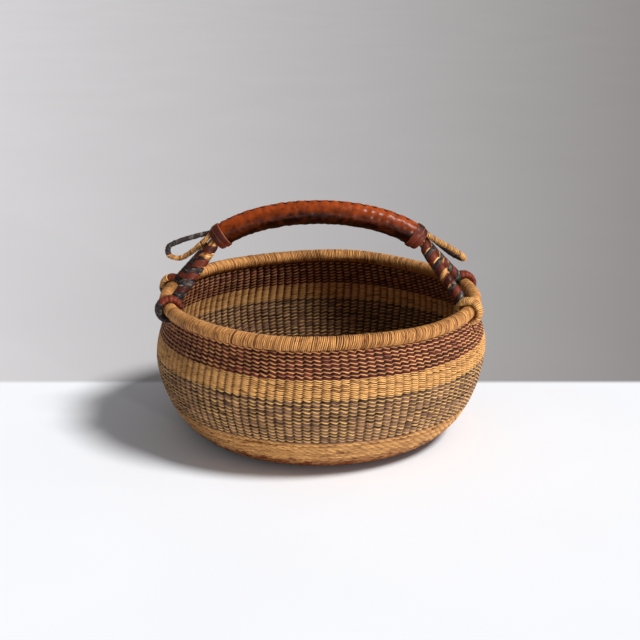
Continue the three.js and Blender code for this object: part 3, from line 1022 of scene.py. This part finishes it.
    def build(self) -> None:
        """Weaves the bowl from the middle of the floor to the rim."""
        grey_foot, natural_foot, maroon_foot = (self.mark_at(height) for height in self.band_feet)
        top = self.mark_at(self.outline.top)
        base = self.rounds(self.first_round, grey_foot)
        grey = self.rounds(grey_foot, natural_foot)
        natural = self.rounds(natural_foot, maroon_foot)
        maroon = self.rounds(maroon_foot, top)
        laid = (base, grey[0::2], grey[1::2], natural, maroon[0::2], maroon[1::2])
        for band, wefts in zip(self.bands, laid):
            self.weave_band(band, wefts)
        slit = self.slits[0][1]
        flush = (0.0, 0.0)
        self.lining("base_stakes", "base_weave", 5 * MM, grey_foot, flush)
        self.lining("grey_band_stakes", "grey_band", grey_foot, natural_foot, flush)
        self.lining("natural_band_stakes", "natural_band", natural_foot, maroon_foot, flush)
        self.lining("maroon_band_stakes_lower", "maroon_band", maroon_foot, slit - 0.1 * MM,
                    (0.0, self.slit_lap))
        self.lining("maroon_band_stakes_upper", "maroon_band", slit + 0.1 * MM, top - 0.5 * MM,
                    (-self.slit_lap, 0.0))
        self.knot()

    def knot(self) -> None:
        """Makes the small crossing of stakes in the middle of the floor."""
        shape = bmesh.new()
        bmesh.ops.create_uvsphere(shape, u_segments=24, v_segments=12, radius=self.knot_radius)
        for vertex in shape.verts:
            vertex.co *= 1 + 0.06 * math.cos(8 * math.atan2(vertex.co.y, vertex.co.x))
        bmesh.ops.scale(shape, verts=shape.verts, vec=(1, 1, 0.32))
        bmesh.ops.translate(shape, verts=shape.verts, vec=(0, 0, self.outline.wall / 2))
        knot = StrandMesh(StrandStock.saved(shape, "knot_stock"))
        x, y, _ = np.moveaxis(knot.rest, -1, 0)
        knot.map(np.hypot(x, y), np.arctan2(y, x), 1.0, self.knot_radius, False, 7)
        knot.mark("tone", 0.4)
        knot.piece("floor_knot", "base_weave", Carrier.BASKET, NATURAL)


@dataclass(frozen=True)
class Strand:
    """A strand as it lies round a line: half its width and thickness, a turn's room, and how dark the
    painted shade in the grooves at its edges is.
    """

    half_width: float
    half_depth: float
    pitch: float
    seam: float
    sides: int = 6


@dataclass
class StrandWrap:
    """Turns of strand laid side by side round a middle line."""

    path: Path
    radius: float
    strand: Strand
    seed: int
    steps: int = 12
    slant: float = 0.12
    jitter: float = 0.04
    lean: float = 0.2
    breadth: float = 1.0

    def wind(self, start: float = 0.0, end: float = 1.0) -> StrandMesh:
        """Winds the turns over a stretch of the line.

        Args:
            start: The share of the line where the turns begin.
            end: The share where they end.

        Returns:
            The turns in one mesh.
        """
        strand = self.strand
        count = max(1, round((end - start) * self.path.length / strand.pitch))
        order = np.arange(count)
        rng = np.random.default_rng(self.seed)
        strands = StrandMesh(StrandStock.ring(self.steps, strand.sides), count)
        turn, section = strands.turns()
        shares = start + (order + 0.5 + rng.normal(0, self.jitter, count)) * (end - start) / count
        bends = max(3, count // 5)
        slow = np.interp(order, np.linspace(0, count, bends), rng.normal(0, 1, bends))
        slant = (self.slant * (0.8 * slow + 0.2 * rng.normal(0, 1, count)))[:, None]
        drifts = max(3, count // 9)
        phase = np.interp(order, np.linspace(0, count, drifts), rng.uniform(0, FULL_TURN, drifts))[:, None]
        lift = rng.normal(0, 0.14, (count, 1)) * strand.half_depth
        bend = self.radius * (slant * np.sin(turn + phase) + self.lean * np.cos(turn))
        along = strand.half_width * np.sin(section) + bend
        bulge = strand.half_depth * np.cos(section) * (1 + 0.12 * np.sin(2 * turn + phase))
        reach = self.radius + lift + bulge
        share = shares[:, None] + along / self.path.length
        strands.bend(self.path.lay(share, reach * np.cos(turn) * self.breadth, reach * np.sin(turn)))
        strands.map(turn, section, self.radius, strand.half_width, True, self.seed)
        tone = np.clip(0.84 + 0.25 * rng.normal(0, 1, (count, 1)) + 0.08 * np.sin(turn + phase), 0, 1)
        # Painted shade: each turn darkens towards its edges, as the shade in the grooves between turns.
        strands.mark("tone", tone * (1 - strand.seam * np.sin(section) ** 2))
        strands.mark("worn", 0.0)
        return strands


@dataclass
class Rim:
    """The rim: a roll of stake ends wrapped with some 540 turns of fine grass."""

    swell: Swell
    radius: float = 184.3 * MM
    height: float = 162 * MM
    roll: float = 8 * MM
    sink: float = 0.9 * MM
    strand: Strand = Strand(1.04 * MM, 1.05 * MM, pitch=2.1 * MM, seam=1.0)
    steps: int = 720

    def build(self) -> None:
        """Winds the wrap round the whole rim."""
        turn = np.linspace(0, FULL_TURN, self.steps + 1)
        height = np.full_like(turn, self.height)
        places = np.stack([self.radius * np.cos(turn), self.radius * np.sin(turn), height], -1)
        path = Path(self.swell.moved(places, np.ones_like(turn)), (0, 0, 1), True)
        wrap = StrandWrap(path, self.roll - self.sink, self.strand, seed=21, steps=16, slant=0.09,
                          jitter=0.05, lean=0.24)
        wrap.wind().piece("rim_wrap_strands", "rim_wrap", Carrier.BASKET, RIM_GRASS)


def smooth_line(points: np.ndarray, steps: int) -> np.ndarray:
    """Draws a smooth line through points, easing by the square root of their distance.

    Args:
        points: The places to pass through.
        steps: How many steps go between two of them.

    Returns:
        The places along the line.
    """
    ends = np.vstack([2 * points[0] - points[1], points, 2 * points[-1] - points[-2]])
    t = np.linspace(0, 1, steps + 1)[:-1, None]
    line = []
    for k in range(len(points) - 1):
        p0, p1, p2, p3 = ends[k:k + 4]
        d0, d1, d2 = (math.sqrt(float(np.linalg.norm(b - a))) for a, b in ((p0, p1), (p1, p2), (p2, p3)))
        m1 = ((p1 - p0) / d0 - (p2 - p0) / (d0 + d1) + (p2 - p1) / d1) * d1
        m2 = ((p2 - p1) / d1 - (p3 - p1) / (d1 + d2) + (p3 - p2) / d2) * d1
        line.append(p1 * (2 * t ** 3 - 3 * t ** 2 + 1) + m1 * (t ** 3 - 2 * t ** 2 + t)
                    + p2 * (3 * t ** 2 - 2 * t ** 3) + m2 * (t ** 3 - t ** 2))
    return np.vstack([*line, points[-1:]])


@dataclass(frozen=True)
class Handle:
    """The handle's own lines: an arch of two hoops that part below the grip into four legs. Metres."""

    ring_radius: float = 12.7 * MM
    rim_radius: float = 184.3 * MM
    rim_height: float = 162 * MM
    shift: float = -2 * MM
    half_span: float = 119 * MM
    centre_height: float = 264.5 * MM
    end_height: float = 232.7 * MM
    span_share: float = 0.875
    half_gap: float = 5.7 * MM
    spreads: tuple[tuple[float, float], tuple[float, float]] = ((56 * MM, 38 * MM), (65 * MM, 52 * MM))
    leg_shares: tuple[float, float] = (0.34, 0.67)
    arch_shares: tuple[float, ...] = (-1, -0.82, -0.55, -0.2, 0.2, 0.55, 0.82, 1)
    steps: int = 24

    def ring_centre(self, side: Side, face: Face) -> np.ndarray:
        """Finds the middle of a ring on the rim.

        Args:
            side: The ring's side.
            face: Whether it is at the front or the back.

        Returns:
            The place.
        """
        spread = self.spreads[side > 0][face > 0]
        aside = side * math.sqrt(self.rim_radius ** 2 - spread ** 2)
        return np.array([aside, face * spread, self.rim_height])

    def arch_point(self, share: float, offset: float) -> np.ndarray:
        """Finds a place on the arch.

        Args:
            share: Its share of the half span, negative at the left.
            offset: How far behind the middle plane it lies.

        Returns:
            The place.
        """
        rise = (self.centre_height - self.end_height) / (1 - math.sqrt(1 - self.span_share ** 2))
        height = self.centre_height - rise + rise * math.sqrt(1 - (share * self.span_share) ** 2)
        return np.array([self.shift + share * self.half_span, offset, height])

    def leg_points(self, side: Side, face: Face) -> list[np.ndarray]:
        """Lays out the places of a leg.

        Args:
            side: The leg's side.
            face: Whether it is at the front or the back.

        Returns:
            The places below the grip, from the top down.
        """
        top = self.arch_point(side, face * self.half_gap)
        ring = self.ring_centre(side, face)
        foot = ring + (top - ring) * self.ring_radius / np.linalg.norm(top - ring)
        return [*(top + (foot - top) * share for share in self.leg_shares), foot]

    def hoop(self, face: Face) -> Path:
        """Draws the middle line of one hoop, from the left ring over the arch to the right ring.

        Args:
            face: Whether it is the front hoop or the back one.

        Returns:
            The line.
        """
        left, right = (self.leg_points(side, face) for side in Side)
        arch = [self.arch_point(share, face * self.half_gap) for share in self.arch_shares]
        return Path(smooth_line(np.array([*reversed(left), *arch, *right]), self.steps), (0, 1, 0))

    def spine(self) -> Path:
        """Draws the middle line of the grip, level with the hoops and between them.

        Returns:
            The line.
        """
        line = self.hoop(Face.FRONT).points * np.array([1, 0, 1])
        inside = np.abs(line[:, 0] - self.shift) <= self.half_span + 0.01 * MM
        return Path(line[inside], (0, 1, 0))


@dataclass(frozen=True)
class RingBand:
    """A stretch of a ring's windings in one finish."""

    start: float
    end: float
    finish: Finish


@dataclass
class Leg:
    """One leg: a leather strip and grass strands wound down the hoop's straws, and its ring."""

    handle: Handle
    side: Side
    face: Face
    pale_run: tuple[float, float]
    ring_bands: tuple[RingBand, ...]
    core_radius: float = 5.4 * MM
    least_pitch: float = 16 * MM
    strap_room: float = 4 * MM
    ring_room: float = 17.6 * MM
    parting: float = 7.4 * MM
    leather_width: float = 9 * MM
    leather_half_depth: float = 0.75 * MM
    strand_width: float = 2.3 * MM
    strand_half_depth: float = 0.8 * MM
    strand_lap: float = 1.12
    tuck_depth: float = 1.5 * MM
    tuck_share: float = 0.03
    turn_length: float = 36 * MM
    tone_steps: int = 40
    pale_lead: float = 0.2
    ring_winding: float = 3.4 * MM
    ring_leather: Strand = Strand(3.2 * MM, 0.8 * MM, pitch=5.2 * MM, seam=0.3, sides=7)
    ring_grass: Strand = Strand(1.0 * MM, 0.8 * MM, pitch=1.9 * MM, seam=0.8)
    inner_radius: float = 9.9 * MM
    inner_winding: float = 1.7 * MM
    inner_grass: Strand = Strand(1.0 * MM, 0.7 * MM, pitch=1.9 * MM, seam=0.7)

    def name(self) -> str:
        """Returns the leg's place in words."""
        return f"{self.face.name}_{self.side.name}".lower()

    def line(self) -> Path:
        """Finds the leg's own line on its hoop, from the strap down to the ring.

        Returns:
            The line.
        """
        hoop = self.handle.hoop(self.face)
        points = hoop.points[::-self.side]
        away = np.linalg.norm(points - self.handle.ring_centre(self.side, self.face), axis=1)
        room = self.handle.half_span + self.strap_room
        beyond = self.side * (points[:, 0] - self.handle.shift) > room
        parted = np.abs(points[:, 1]) > self.parting
        return Path(points[(away > self.ring_room) & beyond & parted][::-1], (0, 1, 0))

    def helix(self, path: Path, strands: StrandMesh, turns: int, shift: float | np.ndarray,
              half_width: float, half_depth: float) -> np.ndarray:
        """Finds the places of strips wound down the leg.

        Args:
            path: The leg's line.
            strands: The plain strips.
            turns: How many times each goes round.
            shift: Metres along the leg from the first turn's own line.
            half_width: Half a strip's width.
            half_depth: Half its thickness.

        Returns:
            The places.
        """
        share, section = strands.reach()
        radius = self.core_radius + half_depth
        lean = math.atan(path.length / turns / (FULL_TURN * radius))
        wide = half_width * fuller(np.sin(section), 0.7)
        crown = 1 + 0.35 * np.cos(section) ** 2
        along = share + (wide * math.cos(lean) + shift) / path.length
        swing = share * turns * FULL_TURN - wide * math.sin(lean) / radius
        tuck = np.clip(np.minimum(share, 1 - share) / self.tuck_share, 0, 1)
        under = self.core_radius - self.tuck_depth
        reach = under + (radius + half_depth * crown * np.cos(section) - under) * np.sqrt(tuck)
        return path.round(along, swing, reach)

    def wind(self) -> None:
        """Winds the leather strip and, in the room beside it, strands of grass."""
        path = self.line()
        turns = math.floor(path.length / self.least_pitch)
        seed = 40 + 4 * self.side + self.face
        strip = StrandMesh(StrandStock.rod(turns * 28, 14))
        share, section = strip.reach()
        half_width = self.leather_width / 2
        strip.bend(self.helix(path, strip, turns, 0.0, half_width, self.leather_half_depth))
        strip.map(share, section, turns * self.turn_length, 2 * MM, False, seed)
        strip.mark("tone", 0.5 + 0.3 * np.sin(9 * share + seed))
        strip.mark("worn", near_edge(section, 0.93) * 0.6)
        name = self.name()
        strip.piece(f"{name}_leather_strip", f"{name}_leather_winding", Carrier.BOTH, STRAP_HIDE)
        self.wind_grass(path, turns, seed)

    def wind_grass(self, path: Path, turns: int, seed: int) -> None:
        """Winds the strands of grass, dark with a pale run, side by side.

        Args:
            path: The leg's line.
            turns: How many times each strand goes round.
            seed: Picks their tones.
        """
        room = path.length / turns - self.leather_width
        lanes = max(2, round(room / (self.strand_width * 0.86)))
        lane = np.arange(lanes)[:, None]
        grass = StrandMesh(StrandStock.rod(turns * 24, 8), lanes)
        share, section = grass.reach()
        half_width = room / lanes / 2 * self.strand_lap
        shift = self.leather_width / 2 + (lane + 0.5) * room / lanes
        grass.bend(self.helix(path, grass, turns, shift, half_width, self.strand_half_depth))
        grass.map(share, section, turns * self.turn_length, 0.7 * MM, False, seed + 1)
        last = self.tone_steps - 1
        tones = np.random.default_rng(seed).uniform(0.0, 1.0, (lanes, self.tone_steps)) ** 2
        grass.mark("tone", tones[lane, np.clip((share * last).astype(int), 0, last)])
        name = self.name()
        made = grass.piece(f"{name}_grass_strands", f"{name}_grass_winding", Carrier.BOTH, DARK, NATURAL)
        middles = np.empty(len(made.data.polygons) * 3)
        made.data.polygons.foreach_get("center", middles)
        away = np.linalg.norm(middles.reshape(-1, 1, 3) - path.points[None], axis=2)
        spot = np.argmin(away, axis=1) / len(path.points)
        first = np.arange(len(spot)) < len(spot) // lanes
        start, end = self.pale_run
        pale = (spot >= start) & (spot < end) | first & (spot < end + self.pale_lead)
        made.data.polygons.foreach_set("material_index", pale.astype(np.int32))

    def ring_line(self, radius: float, turn: np.ndarray, closed: bool) -> Path:
        """Draws a line round the middle of the ring.

        Args:
            radius: The line's radius.
            turn: The turns that it goes through, from the outermost place.
            closed: Whether it comes back to its start.

        Returns:
            The line.
        """
        centre = self.handle.ring_centre(self.side, self.face)
        outwards = centre * np.array([1, 1, 0]) / np.linalg.norm(centre[:2])
        around = outwards * np.cos(turn)[:, None] + UP * np.sin(turn)[:, None]
        return Path(centre + radius * around, tuple(np.cross(outwards, UP)), closed)

    def ring(self) -> None:
        """Winds the ring that ties the leg to the rim, and its first turn, which shows by the wall."""
        name = self.name()
        path = self.ring_line(self.handle.ring_radius, np.linspace(0, FULL_TURN, 97), True)
        for k, band in enumerate(self.ring_bands):
            strand = self.ring_leather if isinstance(band.finish, LeatherFinish) else self.ring_grass
            wrap = StrandWrap(path, self.ring_winding, strand, seed=60 + k, steps=14, breadth=1.9)
            strands = wrap.wind(band.start, band.end)
            strands.piece(f"{name}_ring_band_{k + 1}", f"{name}_ring", Carrier.BASKET, band.finish)
        ends = 0.4 * FULL_TURN
        path = self.ring_line(self.inner_radius, np.linspace(-ends, ends, 81), False)
        strands = StrandWrap(path, self.inner_winding, self.inner_grass, seed=66, breadth=2.0).wind()
        finish = self.ring_bands[-1].finish
        strands.piece(f"{name}_ring_inner_turn", f"{name}_ring", Carrier.BASKET, finish)


@dataclass
class Hoops:
    """The two straw bundles, ridged lengthwise, that carry the grip and stand in the four rings."""

    handle: Handle
    radius: float = 4.9 * MM
    ridge: float = 0.45 * MM
    straws: int = 11
    steps: int = 110

    def build(self) -> None:
        """Makes both bundles."""
        for face in Face:
            name = face.name.lower()
            path = self.handle.hoop(face)
            straw = StrandMesh(StrandStock.rod(self.steps, self.straws * 3))
            share, section = straw.reach()
            ridges = self.ridge * np.abs(np.cos(section * self.straws / 2 + 6 * share))
            straw.bend(path.round(share, section, self.radius - self.ridge + ridges))
            straw.map(section, share, 5 * MM, path.length / FULL_TURN, False, 31)
            straw.mark("tone", 0.35 + 0.3 * np.sin(5 * section + 20 * share))
            straw.piece(f"{name}_hoop_straws", f"{name}_hoop", Carrier.BOTH, NATURAL)


@dataclass
class Grip:
    """The leather grip: a puckered cover, its laced seam and the straps round its ends."""

    handle: Handle
    radius: float = 14.2 * MM
    taper: float = 0.03
    seam: float = math.pi / 2 + math.pi / 18
    stitches: int = 17
    span: float = 0.86
    groove: float = 1.1 * MM
    lip: float = 1.0 * MM
    lip_width: float = 2.0 * MM
    pull: float = 0.55 * MM
    pull_width: float = 7 * MM
    folds: int = 16
    fold_height: float = 0.075 * MM
    stitch_half_length: float = 3.1 * MM
    stitch_half_slant: float = 2.0 * MM
    strap_centres: tuple[float, float] = (-6.4 * MM, 0.2 * MM)
    strap_half_widths: tuple[float, float] = (4.0 * MM, 3.4 * MM)
    strap_tilts: tuple[float, float] = (0.9 * MM, -0.5 * MM)
    strap_lifts: tuple[float, float] = (1.0 * MM, -0.2 * MM)
    plug_radius: float = 13.6 * MM
    plug_length: float = 12 * MM
    plug_inside: float = 9 * MM

    def cover_radius(self, share: np.ndarray) -> np.ndarray:
        """Returns the cover's radius along the grip."""
        return self.radius * (1 - self.taper * np.abs(2 * share - 1) ** 3)

    def pucker(self, share: np.ndarray, turn: np.ndarray) -> np.ndarray:
        """Finds how far the cover's surface rises or sinks.

        Args:
            share: Shares of the grip's length.
            turn: Turns round the grip.

        Returns:
            Metres of rise at each place.
        """
        aside = turn_from(turn, self.seam) * self.radius
        stitch = np.abs(np.sin(math.pi * (share - 0.5) * self.stitches / self.span))
        groove = -self.groove * np.exp(-(aside / self.groove) ** 2)
        front = aside + (1.6 - 1.5 * stitch) * MM
        lip = self.lip * stitch * np.exp(-(front / self.lip_width) ** 2)
        pull = -self.pull * (1 - stitch) ** 2 * np.exp(-(aside / self.pull_width) ** 2)
        rng = np.random.default_rng(77)
        folds = np.zeros_like(share)
        for _ in range(self.folds):
            count = rng.uniform(10, 64) * math.pi
            lean = rng.integers(-5, 6)
            folds += self.fold_height * np.sin(count * share + lean * turn + rng.uniform(0, FULL_TURN))
        return groove + lip + pull + folds * (1 - 0.4 * np.abs(2 * share - 1) ** 4)

    def cover(self, spine: Path) -> None:
        """Makes the leather cover.

        Args:
            spine: The grip's middle line.
        """
        hide = StrandMesh(StrandStock.rod(300, 72))
        share, turn = hide.reach()
        reach = self.cover_radius(share) + self.pucker(share, turn) - 0.1 * MM
        hide.bend(spine.round(share, turn, reach))
        hide.map(share, turn, spine.length, self.radius, False, 71)
        # Painted light: the cover's tone rises on its top and falls underneath, as if lit from above.
        above, below = np.maximum(np.sin(turn), 0), np.maximum(-np.sin(turn), 0)
        tone = 0.12 + 0.6 * above ** 1.2 - 0.3 * below + 0.05 * np.sin(11 * share)
        hide.mark("tone", np.clip(tone, 0, 1))
        hide.mark("worn", 0.0)
        hide.piece("grip_cover_hide", "leather_grip_cover", Carrier.HANDLE, GRIP_HIDE)

    def lacing(self, spine: Path) -> None:
        """Makes the thong: a slanted stitch over the seam at every pucker.

        Args:
            spine: The grip's middle line.
        """
        thong = StrandMesh(StrandStock.rod(10, 8), self.stitches)
        share, section = thong.reach()
        centre = (0.5 + self.span * ((np.arange(self.stitches) + 0.5) / self.stitches - 0.5))[:, None]
        across = (share - 0.5) * 2
        place = centre + (across * self.stitch_half_length + 0.95 * MM * np.sin(section)) / spine.length
        slanted = across * self.stitch_half_slant + 0.6 * MM * np.sin(section)
        arch = 0.2 * MM - 0.45 * MM * (1 - across ** 2)
        tuck = 1.2 * MM * np.clip(np.abs(across) - 0.85, 0, 1) / 0.15
        reach = self.cover_radius(place) + arch - tuck + 0.55 * MM * np.cos(section)
        thong.bend(spine.round(place, self.seam + slanted / self.radius, reach))
        thong.map(share, section, 8 * MM, 1 * MM, False, 75)
        thong.mark("tone", 0.4)
        thong.mark("worn", 0.0)
        thong.piece("seam_lacing_thong", "seam_lacing", Carrier.HANDLE, THONG_HIDE)

    def strap(self, spine: Path, side: Side) -> None:
        """Makes the strap bound twice round one end of the grip.

        Args:
            spine: The grip's middle line.
            side: The end's side.
        """
        strap = StrandMesh(StrandStock.ring(40, 12), 2)
        turn, section = strap.turns()
        settings = (self.strap_centres, self.strap_half_widths, self.strap_tilts, self.strap_lifts)
        centre, half_width, tilt, lift = (np.array(pair)[:, None] for pair in settings)
        beyond = centre + half_width * fuller(np.sin(section), 0.6) + tilt * np.sin(turn + 0.8)
        rounded = 0.8 * MM * np.cos(section) + 0.2 * MM * np.sin(3 * turn)
        reach = self.cover_radius(np.zeros_like(turn)) + lift + rounded - np.maximum(beyond, 0) * 0.25
        strap.bend(spine.round((side > 0) + side * beyond / spine.length, turn, reach))
        strap.map(turn, section, self.radius, 3 * MM, True, 80 + side)
        strap.mark("tone", 0.5 + 0.35 * np.sin(2 * turn + side))
        strap.mark("worn", near_edge(section, 0.8))
        shape = bmesh.new()
        shape.from_mesh(strap.mesh)
        bmesh.ops.recalc_face_normals(shape, faces=shape.faces)
        shape.to_mesh(strap.mesh)
        shape.free()
        name = side.name.lower()
        strap.piece(f"{name}_end_strap", f"{name}_end_binding", Carrier.HANDLE, STRAP_HIDE)

    def plug(self, spine: Path, side: Side) -> None:
        """Makes the leather plug that closes one end of the grip.

        Args:
            spine: The grip's middle line.
            side: The end's side.
        """
        plug = StrandMesh(StrandStock.rod(12, 32))
        share, turn = plug.reach()
        beyond = share * self.plug_length - self.plug_inside
        reach = self.plug_radius - 3.2 * MM * np.clip(share - 0.6, 0, 1) ** 1.5
        plug.bend(spine.round((side > 0) + side * beyond / spine.length, side * turn, reach))
        plug.map(share, turn, 12 * MM, 12 * MM, False, 85 + side)
        plug.mark("tone", 0.3)
        plug.mark("worn", 0.0)
        name = side.name.lower()
        plug.piece(f"{name}_end_plug", f"{name}_end_binding", Carrier.HANDLE, STRAP_HIDE)

    def build(self) -> None:
        """Makes the cover, the lacing and what closes both ends."""
        spine = self.handle.spine()
        self.cover(spine)
        self.lacing(spine)
        for side in Side:
            self.strap(spine, side)
            self.plug(spine, side)


@dataclass
class EarLoop:
    """The stiff loop at one end of the grip, wrapped dark on one half and natural on the other."""

    handle: Handle
    side: Side
    lift: float
    turn: float
    length: float = 56 * MM
    half_width: float = 10.5 * MM
    root_half_gap: float = 3.4 * MM
    root_rise: float = 9.6 * MM
    root_reach: float = 1 * MM
    radius: float = 3.4 * MM
    dark: Strand = Strand(0.81 * MM, 0.9 * MM, pitch=1.5 * MM, seam=0.95)
    pale: Strand = Strand(1.053 * MM, 0.9 * MM, pitch=1.95 * MM, seam=0.95)
    outline: tuple[tuple[float, float], ...] = ((0, 0), (0.3, 0.35), (0.62, 0.85), (0.88, 0.85), (1, 0))
    steps: int = 16

    def line(self) -> Path:
        """Draws the loop's middle line, out on one hand and back on the other.

        Returns:
            The line.
        """
        hoop = self.handle.hoop(Face.FRONT)
        mouth = self.handle.shift + self.side * self.handle.half_span
        mark = np.interp(mouth, hoop.points[:, 0], hoop.marks) + self.side * self.root_reach
        share = np.array([mark / hoop.length])
        flat = np.array([1, 0, 1])
        outward = self.side * Path.unit(hoop.read(hoop.along, share)[0] * flat)
        up = np.cross((0, 1, 0), outward)
        up = up * np.sign(up[2])
        start = hoop.read(hoop.points, share)[0] * flat + up * self.root_rise

        def place(reach: float, width: float, hand: int) -> np.ndarray:
            """Finds one place of the loop.

            Args:
                reach: Its share of the length.
                width: Its share of the half width.
                hand: 1 on the way out, -1 on the way back.

            Returns:
                The place.
            """
            ease = min(reach / 0.5, 1)
            angle = self.turn * ease ** 2 * (3 - 2 * ease)
            half = self.root_half_gap + (self.half_width - self.root_half_gap) * width
            half *= hand if reach < 1 else 0
            raised = up * (self.lift * reach + half * math.sin(angle))
            return start + outward * self.length * reach + raised + np.array([0, half * math.cos(angle), 0])

        out = [place(reach, width, 1) for reach, width in self.outline]
        back = [place(reach, width, -1) for reach, width in self.outline[-2::-1]]
        return Path(smooth_line(np.array(out + back), self.steps))

    def build(self) -> None:
        """Wraps both halves of the loop."""
        path = self.line()
        name = self.side.name.lower()
        halves = (("dark", self.dark, 0.0, 0.5, DARK), ("pale", self.pale, 0.5, 1.0, NATURAL))
        for shade, strand, start, end, finish in halves:
            radius = self.radius - strand.half_depth
            strands = StrandWrap(path, radius, strand, seed=91, jitter=0.06, lean=0.45).wind(start, end)
            node = f"{name}_ear_loop_{shade}_wrap"
            strands.piece(f"{name}_ear_{shade}_strands", node, Carrier.HANDLE, finish)


@dataclass(frozen=True)
class Lamp:
    """A far lamp: where it shines from, its strength and how many degrees wide it looks."""

    name: str
    source: Triple
    power: float
    spread: float

    def hang(self) -> None:
        """Puts the lamp into the scene."""
        light = bpy.data.lights.new(self.name, "SUN")
        light.energy = self.power
        light.angle = math.radians(self.spread)
        made = bpy.data.objects.new(self.name, light)
        made.rotation_mode = "QUATERNION"
        made.rotation_quaternion = (-Vector(self.source)).to_track_quat("-Z", "Y")
        bpy.context.scene.collection.objects.link(made)


@dataclass(frozen=True)
class Studio:
    """The floor, the soft lamps and the camera at the photograph's angle."""

    distance: float = 1.7
    elevation: float = math.radians(17.41)
    target_height: float = 0.1311
    lens: float = 79.17
    sensor: float = 36.0
    floor_reach: float = 14.0
    lamps: tuple[Lamp, ...] = (
        Lamp("window", (0.68, -0.28, 1.0), 3.42, 16),
        Lamp("low_front", (0.6, -0.8, 0.025), 2.5, 1.4),
        Lamp("low_right", (0.98, 0.12, 0.03), 0.6, 2.2),
    )
    surroundings: Colour = tint(250, 251, 255)
    surroundings_light: float = 0.245
    surroundings_seen: float = 0.62

    def lay_floor(self) -> None:
        """Lays the floor."""
        shape = bmesh.new()
        bmesh.ops.create_grid(shape, x_segments=8, y_segments=8, size=self.floor_reach)
        floor = bpy.data.objects.new("floor", StrandStock.saved(shape, "floor"))
        floor.data.materials.append(FloorFinish().material())
        bpy.context.scene.collection.objects.link(floor)

    def light(self) -> None:
        """Hangs the high lamp at the right and two low ones, and sets the pale surroundings."""
        for lamp in self.lamps:
            lamp.hang()
        world = bpy.data.worlds.new("surroundings")
        world.use_nodes = True
        tree = world.node_tree
        back = next(n for n in tree.nodes if n.type == "BACKGROUND")
        back.inputs["Color"].default_value = self.surroundings
        power = tree.nodes.new("ShaderNodeMapRange")
        power.inputs["To Min"].default_value = self.surroundings_light
        power.inputs["To Max"].default_value = self.surroundings_seen
        seen = tree.nodes.new("ShaderNodeLightPath").outputs["Is Camera Ray"]
        tree.links.new(seen, power.inputs["Value"])
        tree.links.new(power.outputs["Result"], back.inputs["Strength"])
        bpy.context.scene.world = world
        bpy.context.scene.view_settings.view_transform = "Standard"

    def place_camera(self) -> None:
        """Places the camera."""
        camera = bpy.data.cameras.new("camera")
        camera.lens = self.lens
        camera.sensor_width = self.sensor
        camera.sensor_fit = "HORIZONTAL"
        made = bpy.data.objects.new("camera", camera)
        back = Vector((0, -math.cos(self.elevation), math.sin(self.elevation)))
        made.location = Vector((0, 0, self.target_height)) + back * self.distance
        made.rotation_mode = "QUATERNION"
        made.rotation_quaternion = (-back).to_track_quat("-Z", "Y")
        bpy.context.scene.collection.objects.link(made)
        bpy.context.scene.camera = made


def dress_inner_nodes(nodes: dict[str, bpy.types.Object]) -> None:
    """Gives the pieces inside the rim, grip and loops their straw finish.

    Args:
        nodes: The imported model's pieces by name.
    """
    straw = NATURAL.material()
    for name in ("rim_core", "grip_padding", "left_ear_loop_core", "right_ear_loop_core"):
        node = nodes[name]
        if not node.data.materials:
            node.data.materials.append(straw)
        for place in node.material_slots:
            place.material = straw


def main() -> None:
    """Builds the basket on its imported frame, from the floor up."""
    logging.basicConfig(level=logging.INFO, format="%(relativeCreated)d %(message)s")
    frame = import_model()
    studio = Studio()
    studio.place_camera()
    handle = Handle()
    swell = Swell()
    bowl = WovenBowl(BowlOutline(), swell, [])
    slit_mark = bowl.mark_at(handle.rim_height - handle.ring_radius)
    for side in Side:
        for face in Face:
            centre = handle.ring_centre(side, face)
            bowl.slits.append((math.atan2(centre[1], centre[0]), slit_mark))
    bowl.build()
    Rim(swell).build()
    Hoops(handle).build()
    front_left = (RingBand(0.0, 0.12, DARK), RingBand(0.12, 0.75, STRAP_HIDE), RingBand(0.75, 1.0, DARK))
    back_left = (RingBand(0.0, 0.2, NATURAL), RingBand(0.2, 0.6, STRAP_HIDE), RingBand(0.6, 1.0, DARK))
    back_right = (RingBand(0.0, 0.5, STRAP_HIDE), RingBand(0.5, 1.0, DARK))
    for leg in (
        Leg(handle, Side.LEFT, Face.FRONT, (0.0, 0.28), front_left),
        Leg(handle, Side.RIGHT, Face.FRONT, (0.45, 0.7), (RingBand(0.0, 1.0, NATURAL),)),
        Leg(handle, Side.LEFT, Face.BACK, (0.0, 0.1), back_left),
        Leg(handle, Side.RIGHT, Face.BACK, (0.5, 0.6), back_right),
    ):
        leg.wind()
        leg.ring()
    Grip(handle).build()
    EarLoop(handle, Side.LEFT, 15 * MM, math.pi / 2).build()
    EarLoop(handle, Side.RIGHT, 8 * MM, -math.pi / 8).build()
    dress_inner_nodes(frame["nodes"])
    studio.lay_floor()
    studio.light()


if __name__ == "__main__":
    main()
